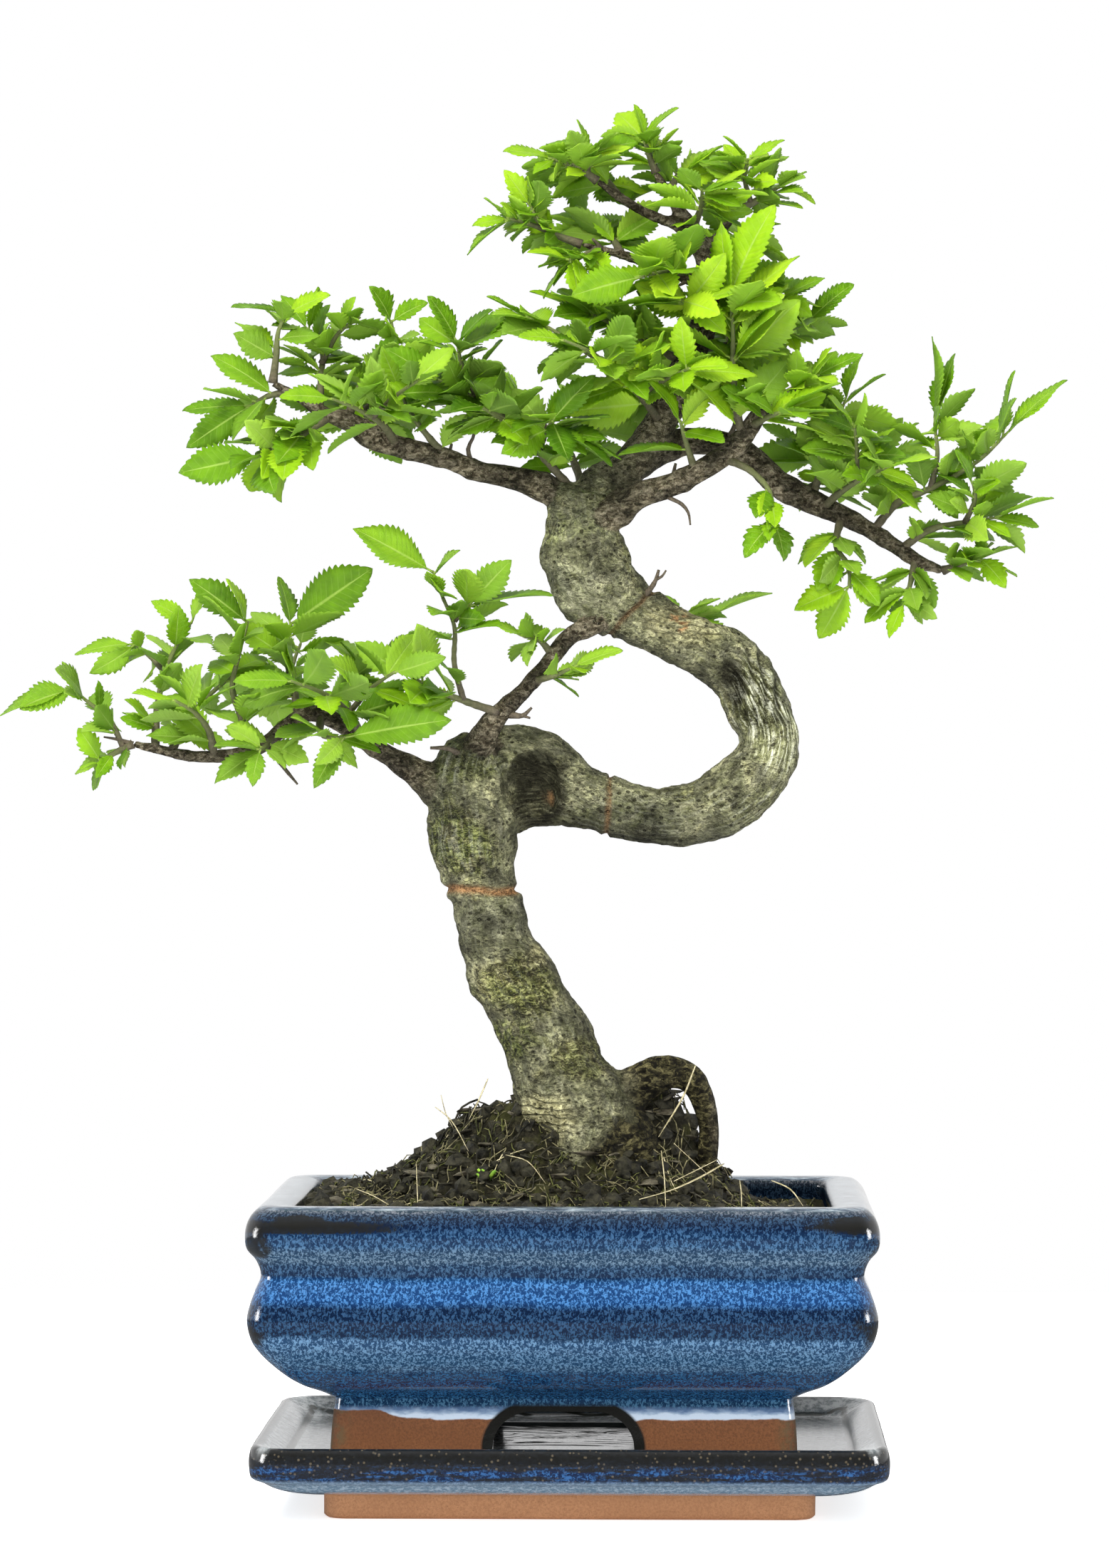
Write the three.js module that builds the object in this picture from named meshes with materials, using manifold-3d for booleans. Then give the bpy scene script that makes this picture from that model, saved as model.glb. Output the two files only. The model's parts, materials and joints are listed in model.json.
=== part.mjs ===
// A Chinese elm bonsai with an S-shaped trunk, in a rectangular glazed pot on its saucer.
// Millimetres, Z up, the viewer of the front stands on the -Y side.
// The model is built with the middle of the pot at X 0, Y 0 and the ground at Z 0, and is moved
// at the end, because the tree reaches further to the left than to the right.
import * as THREE from "three";
import Module from "manifold-3d";

const wasm = await Module();
wasm.setup();

// Driving dimensions of the saucer and the pot
const FIT = 0.3; // clear space between pieces that touch
const SAUCER = {
  halfX: 101,
  halfY: 75,
  corner: 14,
  footInset: 23,
  footWall: 6,
  floorZ: 19,
  aside: 2, // how far it stands to the right of the pot's middle
};
const POT = {
  halfX: 100,
  halfY: 75,
  corner: 11,
  footInset: 26,
  footWall: 6,
  baseZ: 35,
  floorZ: 41,
  rimZ: 100,
  mouthInset: 15.2, // where the rim is narrowest inside
};
const POT_Z = SAUCER.floorZ + FIT;
const ARCH = { bottom: 22.5, top: 17, height: 14.5 }; // half widths and height of the cut-out in the foot
const DRAIN = { x: 45, radius: 7 };
const SCREEN = { half: 12, thick: 1.2, slot: 3, pitch: 8, slots: 2, slotHalf: 8.5 };
const CORNER_STEPS = 4;
const CORNER_LOSS = 0.45; // a corner's radius shrinks by this share of the inset
const CORNER_LEAST = 5;
const POT_X = 11; // from the middle of the whole model's box to the middle of the pot

// Soil: a mound against the foot of the tree, lower along the walls
const SOIL = { edgeZ: 96.5, crumb: 1.1, rings: 4 };
const MOUNDS = [
  { x: -6, y: 3, wideX: 44, wideY: 29, high: 33 },
  { x: 32, y: 6, wideX: 14, wideY: 13, high: 21 },
  { x: -33, y: 2, wideX: 7, wideY: 8, high: 5 },
];

// Wood: each route is a list of [x, y, z, radius]
const TRUNK_SIDES = 10;
const BRANCH_SIDES = 6;
const TRUNK_STEP = 11; // between rings
const BRANCH_STEP = 18;
const TWIG_SIDES = 3;
const LOWER_TRUNK = [
  [8, 0, 88, 25],
  [8, 0, 104, 24],
  [7, 0, 114, 22.5],
  [3.5, 0, 126.8, 19.6],
  [-2.3, 0, 137.5, 15.8],
  [-5.9, 0, 148.1, 14.8],
  [-11.4, 0, 159.5, 12.9],
  [-17.2, 0, 169.3, 13.5],
  [-22.4, 0, 179.1, 12.4],
  [-24.5, 0, 188.9, 12],
  [-27.2, 0, 197.9, 10.6],
  [-29, 0, 203.6, 11.4],
  [-30.5, 0, 210.9, 13.4],
  [-31, 0, 221.5, 14.3],
  [-32, 0, 232, 14],
  [-31, 1, 240.5, 12],
  [-28, 2, 247, 7.5],
];
// The web that closes the bend below the fold
const FOLD_WEB = [
  [-28, 3, 222, 9],
  [-17, 6, 227.5, 9.5],
  [-6, 6, 229, 9.5],
  [5, 3, 228, 9],
];
const UPPER_TRUNK = [
  [-30, 2, 235, 11],
  [-20, 4, 241, 11],
  [-9, 4, 238, 11.6],
  [3.8, 2, 229.9, 10.9],
  [13.6, 0, 226.2, 9.4],
  [26.3, -2, 222.9, 9.3],
  [41.6, -4, 223.6, 9.9],
  [55.3, -4, 230.6, 11.4],
  [64, -3, 240, 10.4],
  [65.6, -2, 249.2, 9.8],
  [61.7, 0, 259.9, 10],
  [54.7, 1, 271.1, 10],
  [34.7, 1, 282, 9.2],
  [22.5, 0, 288.8, 9.9],
  [9.2, 0, 298.6, 14],
  [5.2, 0, 310.4, 13.6],
  [4.3, 0, 320.2, 10.8],
  [4.6, 0, 328, 9.6],
];
const FOLD_HOLLOW = { x: -11, y: -10, z: 233, radiusX: 7, radiusY: 9, radiusZ: 10.5 };
const BRANCHES = {
  leader: [
    [4, 0, 318, 9],
    [11, 2, 329, 7.4],
    [22, 4, 339, 6.4],
    [31, 4, 352, 5.5],
    [38, 3, 368, 5],
    [45, 2, 384, 4.6],
    [47, 0, 396, 4.4],
    [45, -1, 405, 3.6],
    [40, -2, 415, 3],
    [36, -2, 421, 2.3],
  ],
  upper_left: [
    [4, 0, 324, 6],
    [-8, -2, 330, 4.4],
    [-18, -4, 333, 3.8],
    [-29, -7, 335, 3.6],
    [-39, -9, 339, 3.6],
    [-56, -12, 343, 3.5],
    [-64, -13, 346.5, 4.4],
    [-70, -14, 350.5, 3],
    [-78, -15, 353, 2.4],
    [-86, -16, 358, 2],
    [-95, -17, 363, 1.5],
  ],
  right_rise: [
    [5, -3, 316, 7],
    [15, -6, 321, 5],
    [24, -9, 327, 4.4],
    [34, -11, 330, 4],
    [44, -13, 335, 3.7],
    [52, -14, 340, 3.5],
    [58, -15, 346, 3.3],
    [62, -15, 352, 2.9],
    [67, -15, 357, 1.8],
  ],
  right_droop: [
    [22, 4, 338, 5.4],
    [36, 10, 345, 4.7],
    [50, 13, 345, 4.5],
    [60, 14, 341, 4.4],
    [69, 13, 332, 4.5],
    [80, 12, 326, 4.2],
    [91, 11, 321, 3.4],
    [100, 10, 316, 3],
    [109, 9, 310, 2.7],
    [116, 8, 305.5, 2.3],
    [123, 7, 303, 1.5],
  ],
  lower_left: [
    [-31, 0, 226, 9],
    [-43, -3, 233, 6.4],
    [-51, -5, 238, 4.4],
    [-58, -7, 242.5, 3.5],
    [-67, -9, 248, 3],
    [-76, -11, 254, 2.9],
    [-84, -12, 256, 2.8],
    [-92, -13, 251, 2.6],
    [-98, -14, 246, 2.4],
    [-105, -15, 243, 2.3],
    [-120, -17, 242, 2],
    [-135, -19, 245, 1.6],
    [-140, -20, 246, 1.3],
  ],
  drooping: [
    [16, -2, 291, 5],
    [9, -7, 285, 3.4],
    [1, -10, 281, 3],
    [-6, -12, 272, 2.8],
    [-14, -14, 263, 2.8],
    [-20, -15, 257.5, 3.2],
    [-25, -12, 251.5, 4],
    [-29, -6, 245, 5],
  ],
  crown_left: [
    [40, -2, 413, 2.6],
    [34, -3, 416, 2],
    [26, -5, 419, 1.8],
    [17, -8, 424, 1.7],
    [10, -10, 429, 1.4],
  ],
  crown_centre: [
    [37, -2, 419, 2],
    [33, 0, 426, 1.6],
    [29, 3, 433, 1.3],
  ],
  crown_right: [
    [45, -1, 405, 2.2],
    [50, 0, 413, 1.6],
    [57, 2, 421, 1.2],
  ],
  crown_low: [
    [47, 0, 395, 2.4],
    [32, -6, 400, 1.7],
    [18, -10, 405, 1.5],
    [5, -13, 408, 1.2],
  ],
  root_arch: [
    [10, -2, 120, 9],
    [19, -3, 131, 7.4],
    [27, -4, 137, 6.4],
    [34, -4, 139.4, 5.6],
    [40, -4, 137.5, 4.8],
    [44, -4, 131.5, 4],
    [46.2, -4, 121, 3.4],
    [45.5, -4, 108, 3.2],
    [44, -3, 94, 2.8],
  ],
  root_right: [
    [12, -6, 112, 9],
    [26, -14, 108, 5],
    [36, -18, 99, 3],
  ],
};

// A twig: its route as [x, y, z], its number of side leaves, their length,
// and the tips of leaves that grow from its end
const twig = (route, leaves, size, ends = []) => ({ route, leaves, size, ends });

// Each spray is one leafy shoot with the twigs that grow from it. The first point of each twig
// lies in the wood that carries it.
const SPRAYS = {
  crown_top: [
    twig([[29, 3, 433], [26, 2, 441], [25, 1, 445]], 2, 18, [[22, 0, 455], [36, -6, 453]]),
  ],
  crown_left_end: [
    twig([[10, -10, 429], [4, -12, 433], [-5, -13, 436]], 1, 19, [[-20, -16, 439], [-10, -22, 430]]),
    twig([[7, -11, 431], [7, -9, 438]], 1, 18, [[4, -10, 449], [14, -14, 446]]),
  ],
  crown_left_back: [
    twig([[17, -8, 424], [12, 4, 431], [4, 14, 434], [-2, 22, 435]], 3, 20, [[-10, 34, 434]]),
  ],
  crown_centre_back: [
    twig([[33, 0, 426], [36, 12, 433], [38, 22, 437]], 2, 20, [[40, 36, 440]]),
  ],
  crown_right_end: [
    twig([[57, 2, 421], [64, 4, 425], [70, 5, 429]], 1, 17, [[81, 2, 423], [78, 10, 434]]),
    twig([[60, 3, 423], [58, 0, 431], [59, -2, 437]], 1, 17, [[71, -6, 442], [52, -8, 444]]),
  ],
  crown_low_end: [
    twig([[5, -13, 408], [-7, -15, 413], [-12, -16, 421]], 2, 16, [[-20, -20, 431], [-10, -18, 434]]),
    twig([[-5, -15, 412], [-14, -17, 415], [-19, -18, 416]], 1, 15, [[-30, -20, 413], [-28, -24, 405]]),
  ],
  crown_low_front: [
    twig([[11, -11.5, 406.5], [6, -18, 404], [1, -23, 402]], 1, 17, [[-12, -27, 405], [4, -26, 390]]),
  ],
  crown_low_back: [
    twig([[18, -10, 405], [15, 2, 411], [11, 14, 415], [8, 24, 417]], 4, 20, [[-2, 36, 416]]),
  ],
  crown_front: [
    twig([[46, 0, 399], [38, -12, 399], [30, -21, 398], [24, -27, 396]], 2, 24, [[3, -34, 388]]),
  ],
  crown_mid_front: [
    twig([[41, -2, 414], [44, -12, 421], [44, -20, 425]], 2, 21, [[36, -33, 430], [57, -29, 425]]),
  ],
  crown_mid_back: [
    twig([[44, -1, 407], [50, 12, 411], [54, 24, 414], [57, 34, 415]], 4, 21, [[62, 49, 413]]),
  ],
  crown_right_low: [
    twig(
      [[46.5, 0, 391], [57, -2, 394], [66, -5, 393], [70, -7, 391]],
      2, 19, [[79, -12, 384], [84, -9, 397]],
    ),
  ],
  shoot: [
    twig(
      [[57, -15, 345], [55, -19, 356], [54, -20, 368], [54, -20, 380], [53, -21, 391]],
      4, 27, [[68, -25, 419], [50, -22, 414]],
    ),
  ],
  mid_left: [
    twig(
      [[2, -1, 329], [-8, -8, 340], [-16, -14, 349], [-28, -20, 357], [-42, -24, 364]],
      2, 23, [[-58, -30, 372]],
    ),
    twig([[-28, -20, 357], [-33, -23, 367], [-35, -26, 376]], 2, 21, [[-44, -30, 390], [-24, -32, 386]]),
    twig([[-16, -14, 349], [-21, -26, 351], [-27, -36, 354]], 2, 23, [[-36, -50, 352]]),
    twig([[-9, -9, 341], [-6, -22, 347], [-4, -32, 350]], 2, 23, [[2, -44, 336], [-12, -47, 350]]),
  ],
  mid_back: [
    twig(
      [[6, 2, 328], [0, 16, 343], [-8, 30, 352], [-20, 42, 361], [-34, 50, 367]],
      3, 23, [[-50, 56, 370]],
    ),
    twig([[-6, 27, 350], [-20, 26, 361], [-32, 27, 368], [-42, 26, 374]], 3, 21, [[-56, 28, 380]]),
    twig([[0, 16, 343], [10, 28, 353], [18, 38, 361], [24, 48, 367]], 3, 23, [[32, 60, 372]]),
  ],
  mid_front: [
    twig(
      [[31, 3, 351], [24, -13, 359], [16, -29, 366], [8, -43, 371], [0, -50, 374]],
      3, 24, [[-14, -58, 374]],
    ),
    twig([[18, -25, 364], [7, -26, 372], [-4, -28, 379], [-12, -28, 383]], 2, 23, [[-28, -30, 388]]),
    twig([[24, -13, 359], [32, -27, 363], [40, -37, 366]], 2, 23, [[52, -48, 366], [38, -50, 378]]),
  ],
  mid_right_back: [
    twig([[35, 4, 361], [46, 18, 370], [58, 32, 377], [70, 43, 382]], 2, 23, [[86, 52, 386]]),
    twig([[52, 25, 373], [53, 27, 384], [51, 28, 392]], 2, 21, [[46, 31, 407], [62, 34, 404]]),
    twig([[46, 18, 370], [40, 32, 376], [36, 43, 380]], 2, 21, [[28, 57, 384]]),
  ],
  leader_left: [
    twig([[39, 3, 370], [27, -1, 377], [15, -5, 383], [5, -7, 387]], 4, 23, [[-12, -9, 393]]),
  ],
  leader_front: [
    twig([[44, 2, 382], [41, -12, 387], [37, -24, 389]], 2, 25, [[30, -44, 387], [48, -41, 383]]),
  ],
  leader_right: [
    twig([[41, 3, 375], [54, 5, 377], [68, 5, 380], [79, 3, 384]], 3, 20, [[94, -2, 395]]),
  ],
  rise_tip: [
    twig([[67, -15, 357], [74, -16, 361], [81, -17, 365]], 2, 20, [[96, -19, 371], [88, -29, 362]]),
  ],
  rise_front: [
    twig([[60, -15, 349], [65, -26, 351], [69, -35, 352]], 2, 21, [[78, -50, 350]]),
  ],
  rise_droop: [
    twig(
      [[50, -14, 339], [60, -19, 334], [66, -21, 327], [67, -22, 317]],
      1, 16, [[57, -25, 307], [71, -27, 305]],
    ),
  ],
  rise_left: [
    twig([[42, -12.5, 334], [39, -20, 343], [37, -25, 350]], 2, 20, [[28, -35, 362]]),
  ],
  droop_up: [
    twig(
      [[80, 12, 326], [84, 11, 339], [88, 10, 350], [91, 9, 359]],
      4, 20, [[96, 6, 374], [104, 12, 368]],
    ),
  ],
  droop_high: [
    twig(
      [[100, 10, 316], [108, 8, 325], [117, 6, 329], [127, 5, 334], [136, 3, 340], [143, 2, 347]],
      3, 21, [[162, -2, 365], [145, 4, 368]],
    ),
    twig([[119, 6, 330], [121, 4, 341], [120, 4, 351]], 1, 20, [[119, 2, 379], [125, 6, 373]]),
  ],
  droop_side: [
    twig(
      [[109, 9, 310], [118, 5, 316], [126, 3, 318], [134, 1, 319], [140, 0, 320]],
      2, 19, [[158, -3, 327], [154, 2, 317]],
    ),
    twig([[130, 2, 318.5], [133, -3, 326], [132, -6, 331]], 1, 18, [[126, -12, 341]]),
  ],
  droop_end: [
    twig([[123, 7, 303], [129, 4, 305], [135, 2, 307]], 1, 18, [[142, -5, 297], [147, 6, 311]]),
  ],
  droop_hanging: [
    twig([[114, 8, 307], [112, 4, 298], [110, 2, 292]], 1, 18, [[105, -1, 281], [116, 4, 285]]),
  ],
  droop_low: [
    twig(
      [[90, 11, 321.5], [88, 5, 311], [92, 1, 304], [92, -1, 297]],
      2, 19, [[75, -5, 289], [82, 4, 281]],
    ),
  ],
  droop_back: [
    twig([[76, 12.5, 328], [86, 27, 335], [97, 39, 340], [106, 45, 343]], 3, 21, [[121, 52, 344]]),
    twig([[86, 27, 335], [83, 38, 341], [79, 46, 345]], 2, 21, [[72, 60, 348]]),
  ],
  droop_front: [
    twig([[84, 11.5, 324], [89, -3, 328], [96, -17, 332], [104, -28, 335]], 3, 21, [[119, -36, 338]]),
    twig([[94, -13, 331], [94, -19, 341], [93, -22, 349]], 2, 20, [[84, -30, 358], [100, -34, 358]]),
  ],
  left_tip: [
    twig(
      [[-95, -17, 363], [-94, -17, 371], [-93, -18, 380], [-90, -18, 386]],
      2, 18, [[-108, -22, 388], [-76, -22, 391]],
    ),
  ],
  left_far: [
    twig(
      [[-90, -16.5, 360], [-97, -13, 359], [-103, -11, 356]],
      1, 24, [[-125, -8, 355], [-122, -15, 341]],
    ),
  ],
  left_low: [
    twig(
      [[-76, -14.7, 352.5], [-84, -19, 347], [-92, -22, 342], [-99, -24, 339]],
      3, 21, [[-124, -27, 332], [-107, -38, 334]],
    ),
  ],
  left_loop: [
    twig(
      [[-71, -14, 351], [-67, -12, 362], [-58, -11, 368], [-56, -10, 376], [-57, -9, 384]],
      2, 17, [[-45, -12, 389], [-64, -16, 394]],
    ),
  ],
  left_riser: [
    twig(
      [[-80, -15.3, 354], [-80, -8, 365], [-80, -5, 374], [-85, -3, 382]],
      2, 19, [[-94, 2, 393], [-80, -8, 395]],
    ),
    twig([[-80, -7, 370], [-74, -9, 380], [-67, -10, 385]], 1, 18, [[-60, -20, 392]]),
  ],
  left_back: [
    twig([[-62, -12.7, 345], [-66, 4, 352], [-72, 18, 358], [-80, 30, 362]], 3, 23, [[-92, 42, 362]]),
    twig([[-69, 11, 355], [-60, 20, 363], [-52, 28, 369]], 2, 21, [[-40, 38, 374]]),
  ],
  left_front: [
    twig([[-55, -12, 343], [-59, -25, 349], [-66, -36, 353], [-74, -44, 356]], 3, 23, [[-90, -54, 356]]),
    twig([[-62, -30, 351], [-53, -38, 358], [-46, -44, 362]], 2, 21, [[-36, -54, 364]]),
  ],
  left_inner: [
    twig([[-38, -9, 338.7], [-44, -13, 345], [-50, -16, 353], [-54, -18, 361]], 2, 20, [[-60, -22, 374]]),
  ],
  low_end: [
    twig(
      [[-140, -20, 246], [-146, -21, 243], [-151, -22, 240]],
      1, 15, [[-157, -24, 238], [-158, -20, 251]],
    ),
    twig(
      [[-143, -20.5, 244.5], [-148, -19, 254], [-154, -19, 259], [-160, -20, 264]],
      2, 18, [[-184, -23, 257], [-172, -28, 252]],
    ),
  ],
  low_high: [
    twig(
      [[-133, -18.7, 244.5], [-133, -14, 256], [-131, -12, 268], [-127, -10, 278], [-122, -9, 286]],
      3, 18, [[-116, -12, 297], [-136, -8, 292]],
    ),
    twig(
      [[-130.5, -12, 269.5], [-136, -10, 275], [-141, -9, 279]],
      1, 17, [[-160, -10, 276], [-152, -16, 270]],
    ),
  ],
  low_rear: [
    twig([[-128, -18, 243.5], [-123, -9, 254], [-117, -3, 262], [-108, 4, 270]], 3, 20, [[-96, 12, 280]]),
  ],
  low_fore: [
    twig(
      [[-114, -16.2, 242.4], [-115, -24, 250], [-119, -31, 256], [-125, -37, 260]],
      2, 20, [[-138, -44, 262]],
    ),
  ],
  low_mid: [
    twig(
      [[-103, -14.7, 243.7], [-105, -17, 254], [-108, -18, 264], [-106, -17, 275], [-103, -16, 286]],
      3, 19, [[-123, -14, 297], [-108, -24, 300]],
    ),
  ],
  low_inner: [
    twig(
      [[-87, -12.4, 254], [-89, -9, 265], [-92, -5, 276], [-90, -3, 286]],
      3, 21, [[-62, -6, 301], [-94, 0, 301]],
    ),
  ],
  low_hanging: [
    twig(
      [[-80, -11.5, 255], [-79, -22, 250], [-76, -31, 248], [-70, -36, 248]],
      2, 23, [[-37, -40, 254], [-78, -46, 232]],
    ),
  ],
  low_under: [
    twig(
      [[-95, -13.5, 248.5], [-97, -23, 245], [-98, -31, 244]],
      1, 18, [[-99, -38, 233], [-112, -39, 246]],
    ),
  ],
  low_back: [
    twig([[-73, -10, 252], [-82, 6, 258], [-93, 20, 263], [-104, 32, 266]], 3, 21, [[-120, 42, 266]]),
    twig([[-82, 6, 258], [-73, 16, 267], [-64, 25, 274]], 2, 21, [[-50, 34, 280]]),
    twig([[-93, 20, 263], [-92, 30, 273], [-90, 38, 280]], 2, 20, [[-88, 50, 288]]),
  ],
  low_front: [
    twig(
      [[-66, -8.8, 247.3], [-70, -22, 256], [-77, -34, 262], [-87, -45, 266]],
      3, 23, [[-104, -54, 266]],
    ),
    twig([[-70, -22, 256], [-62, -32, 264], [-54, -40, 269]], 2, 23, [[-38, -50, 272]]),
  ],
  hanging_left: [
    twig(
      [[-22, -16.3, 256.3], [-33, -20, 260], [-43, -23, 264], [-52, -25, 269]],
      2, 24, [[-68, -28, 277], [-62, -36, 262]],
    ),
    twig(
      [[-33, -20, 260], [-36, -20, 272], [-36, -20, 284], [-40, -20, 294], [-43, -20, 302]],
      2, 21, [[-68, -22, 316], [-34, -25, 309]],
    ),
    twig([[-36, -20, 286], [-31, -19, 291]], 0, 18, [[-17, -21, 305], [-5, -17, 296]]),
  ],
  hanging_right: [
    twig([[-4, -11.5, 274.5], [-9, -14, 280], [-14, -15, 281]], 1, 15, [[-23, -18, 285], [-13, -21, 288]]),
  ],
  hanging_low: [
    twig([[-11, -13, 266.5], [-4, -20, 268], [3, -23, 271]], 1, 16, [[18, -25, 277]]),
  ],
  loop_shoot: [
    twig([[36, 2, 281.5], [38, 12, 288], [44, 15, 287]], 1, 15, [[67, 18, 297]]),
  ],
};

// Leaves
const LEAF = {
  wide: 0.27, // half width of the blade, as a share of its length
  thick: 1.2, // at the midrib
  arch: 0.14, // how far the tip hangs, as a share of the length
  fold: 0.28, // how far the edges stand up from the midrib
  stalk: 0.16, // the stretch at the base, as a share of the length, that needs no room of its own
};
const LEAF_MIDDLE = 0.55; // share of the length where the ball round a leaf has its centre
const LEAF_REACH = 0.62; // radius of that ball, as a share of the length
// Side leaves: angles in degrees from their twig, and how much their length varies
const SIDE = {
  first: 0.3, // share of the twig's length where leaves start
  span: 0.66,
  spread: 42,
  spreadMore: 34,
  roll: -35,
  rollMore: 90,
  short: 0.82,
  longer: 0.36,
};
const HANG = 0.12; // how much side leaves lean down
// Leaves look up and out of the crown: to the front at its front, to the back at its back
const CROWN = { depth: 22, forward: 0.35 };
const TIP_SWING = 0.9; // how much further an end leaf's tip may move at each new try
// Half of a leaf's outline from base to tip as [share of length, share of half width]:
// each tooth runs out slowly and steps back sharply
const LEAF_EDGE = [
  [0.18, 0.7],
  [0.42, 1],
  [0.49, 0.79],
  [0.75, 0.7],
];
const LEAF_RIDGE = 0.45; // where the midrib is thickest
const END_STEP = 0.06; // end leaves grow this share of a twig's last stretch apart
const LEAF_TRIES = 14;
const LEAF_APART = 2.1; // between leaves of two sprays
const LEAF_NEAR = 1; // between leaves of one spray
const WOOD_APART = 1;
const TWIG = { first: 1.5, later: 1.25, end: 0.95 }; // radii at the start and the end

// Small vector arithmetic on [x, y, z]
const add = (a, b, k = 1) => [a[0] + b[0] * k, a[1] + b[1] * k, a[2] + b[2] * k];
const sub = (a, b) => add(a, b, -1);
const dot = (a, b) => a[0] * b[0] + a[1] * b[1] + a[2] * b[2];
const cross = (a, b) => [
  a[1] * b[2] - a[2] * b[1],
  a[2] * b[0] - a[0] * b[2],
  a[0] * b[1] - a[1] * b[0],
];
const scale = (a, k) => [a[0] * k, a[1] * k, a[2] * k];
const size = (a) => Math.sqrt(dot(a, a));
const unit = (a) => scale(a, 1 / Math.max(size(a), 1e-9));
const mix = (a, b, t) => add(scale(a, 1 - t), b, t);

// A seeded source of even draws between 0 and 1
function draws(seed) {
  let state = seed >>> 0;
  return () => {
    state = (Math.imul(state, 1664525) + 1013904223) >>> 0;
    return state / 4294967296;
  };
}

// A closed solid from points and triangles, turned to face out
function solid(points, triangles) {
  let volume = 0;
  for (const [a, b, c] of triangles) volume += dot(points[a], cross(points[b], points[c]));
  const faces = volume < 0 ? triangles.map(([a, b, c]) => [a, c, b]) : triangles;
  const mesh = new wasm.Mesh({
    numProp: 3,
    vertProperties: new Float32Array(points.flat()),
    triVerts: new Uint32Array(faces.flat()),
  });
  return new wasm.Manifold(mesh);
}

// Closed rings of equally many points, skinned one to the next, with a fan at each end
function skin(rings) {
  const count = rings[0].length;
  const points = rings.flat();
  const triangles = [];
  for (let level = 0; level + 1 < rings.length; level++) {
    for (let i = 0; i < count; i++) {
      const j = (i + 1) % count;
      const low = level * count;
      const high = low + count;
      triangles.push([low + i, low + j, high + j], [low + i, high + j, high + i]);
    }
  }
  const last = (rings.length - 1) * count;
  if (count === 3) {
    triangles.push([0, 2, 1], [last, last + 1, last + 2]);
    return solid(points, triangles);
  }
  for (const [start, turned] of [[0, true], [last, false]]) {
    const middle = points.length;
    let sum = [0, 0, 0];
    for (let i = 0; i < count; i++) sum = add(sum, points[start + i], 1 / count);
    points.push(sum);
    for (let i = 0; i < count; i++) {
      const j = (i + 1) % count;
      triangles.push(turned ? [middle, start + j, start + i] : [middle, start + i, start + j]);
    }
  }
  return solid(points, triangles);
}

// A rectangle with round corners, at height z
function roundedRing(halfX, halfY, corner, z) {
  const points = [];
  for (let quarter = 0; quarter < 4; quarter++) {
    const signX = quarter === 0 || quarter === 3 ? 1 : -1;
    const signY = quarter < 2 ? 1 : -1;
    for (let i = 0; i <= CORNER_STEPS; i++) {
      const angle = ((quarter + i / CORNER_STEPS) * Math.PI) / 2;
      const x = signX * (halfX - corner) + corner * Math.cos(angle);
      const y = signY * (halfY - corner) + corner * Math.sin(angle);
      points.push([x, y, z]);
    }
  }
  return points;
}

// Rings for a profile of [inset, z] from a rectangle's outermost size. Corners get rounder outwards.
function profileRings(outer, profile) {
  return profile.map(([inset, z]) =>
    roundedRing(
      outer.halfX - inset,
      outer.halfY - inset,
      Math.max(outer.corner - inset * CORNER_LOSS, CORNER_LEAST),
      z,
    ),
  );
}

// A straight prism from an outline in X and Z, cut along Y
function prismAlongY(outline, yLow, yHigh) {
  return skin([yLow, yHigh].map((y) => outline.map(([x, z]) => [x, y, z])));
}

function box(x0, x1, y0, y1, z0, z1) {
  const outline = [[x0, z0], [x1, z0], [x1, z1], [x0, z1]];
  return prismAlongY(outline, y0, y1);
}

function cylinder(x, y, radius, z0, z1) {
  const sides = 16;
  const ring = (z) =>
    Array.from({ length: sides }, (_, i) => {
      const angle = (2 * Math.PI * i) / sides;
      return [x + radius * Math.cos(angle), y + radius * Math.sin(angle), z];
    });
  return skin([ring(z0), ring(z1)]);
}

// Points along a smooth curve through a route of [x, y, z, radius], about a step apart
function smoothRoute(route, step) {
  const curve = new THREE.CatmullRomCurve3(
    route.map(([x, y, z]) => new THREE.Vector3(x, y, z)),
    false,
    "centripetal",
  );
  const last = route.length - 1;
  const places = [];
  for (let i = 0; i < last; i++) {
    const length = size(sub(route[i + 1], route[i]));
    const parts = Math.max(1, Math.round(length / step));
    for (let k = 0; k < parts; k++) places.push(i + k / parts);
  }
  places.push(last);
  return places.map((place) => {
    const i = Math.min(Math.floor(place), last - 1);
    const t = place - i;
    const eased = t * t * (3 - 2 * t);
    const p = curve.getPoint(place / last);
    return [p.x, p.y, p.z, route[i][3] * (1 - eased) + route[i + 1][3] * eased];
  });
}

// A closed tube of many-sided rings. Each ring is turned as little as it can be from the one before.
// Lumps swell the rings by a few percent, as old bark does, and extra makes the tube larger all over.
function tube(stations, sides, lumps = 0, extra = 0) {
  const rings = [];
  let side = null;
  let travelled = 0;
  stations.forEach((station, i) => {
    const before = stations[Math.max(i - 1, 0)];
    const after = stations[Math.min(i + 1, stations.length - 1)];
    const along = unit(sub(after, before));
    const start = side ?? (Math.abs(along[2]) > 0.8 ? [1, 0, 0] : [0, 0, 1]);
    side = unit(add(start, along, -dot(start, along)));
    const up = cross(along, side);
    if (i > 0) travelled += size(sub(station, before));
    const beyond = i === 0 ? -extra : i === stations.length - 1 ? extra : 0;
    const centre = add(station, along, beyond);
    rings.push(
      Array.from({ length: sides }, (_, k) => {
        const angle = (2 * Math.PI * k) / sides;
        const wave = Math.sin(2 * angle + travelled * 0.11) + 0.7 * Math.sin(3 * angle - travelled * 0.19);
        const radius = station[3] * (1 + lumps * wave) + extra;
        return add(add(centre, side, radius * Math.cos(angle)), up, radius * Math.sin(angle));
      }),
    );
  });
  return skin(rings);
}

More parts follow.
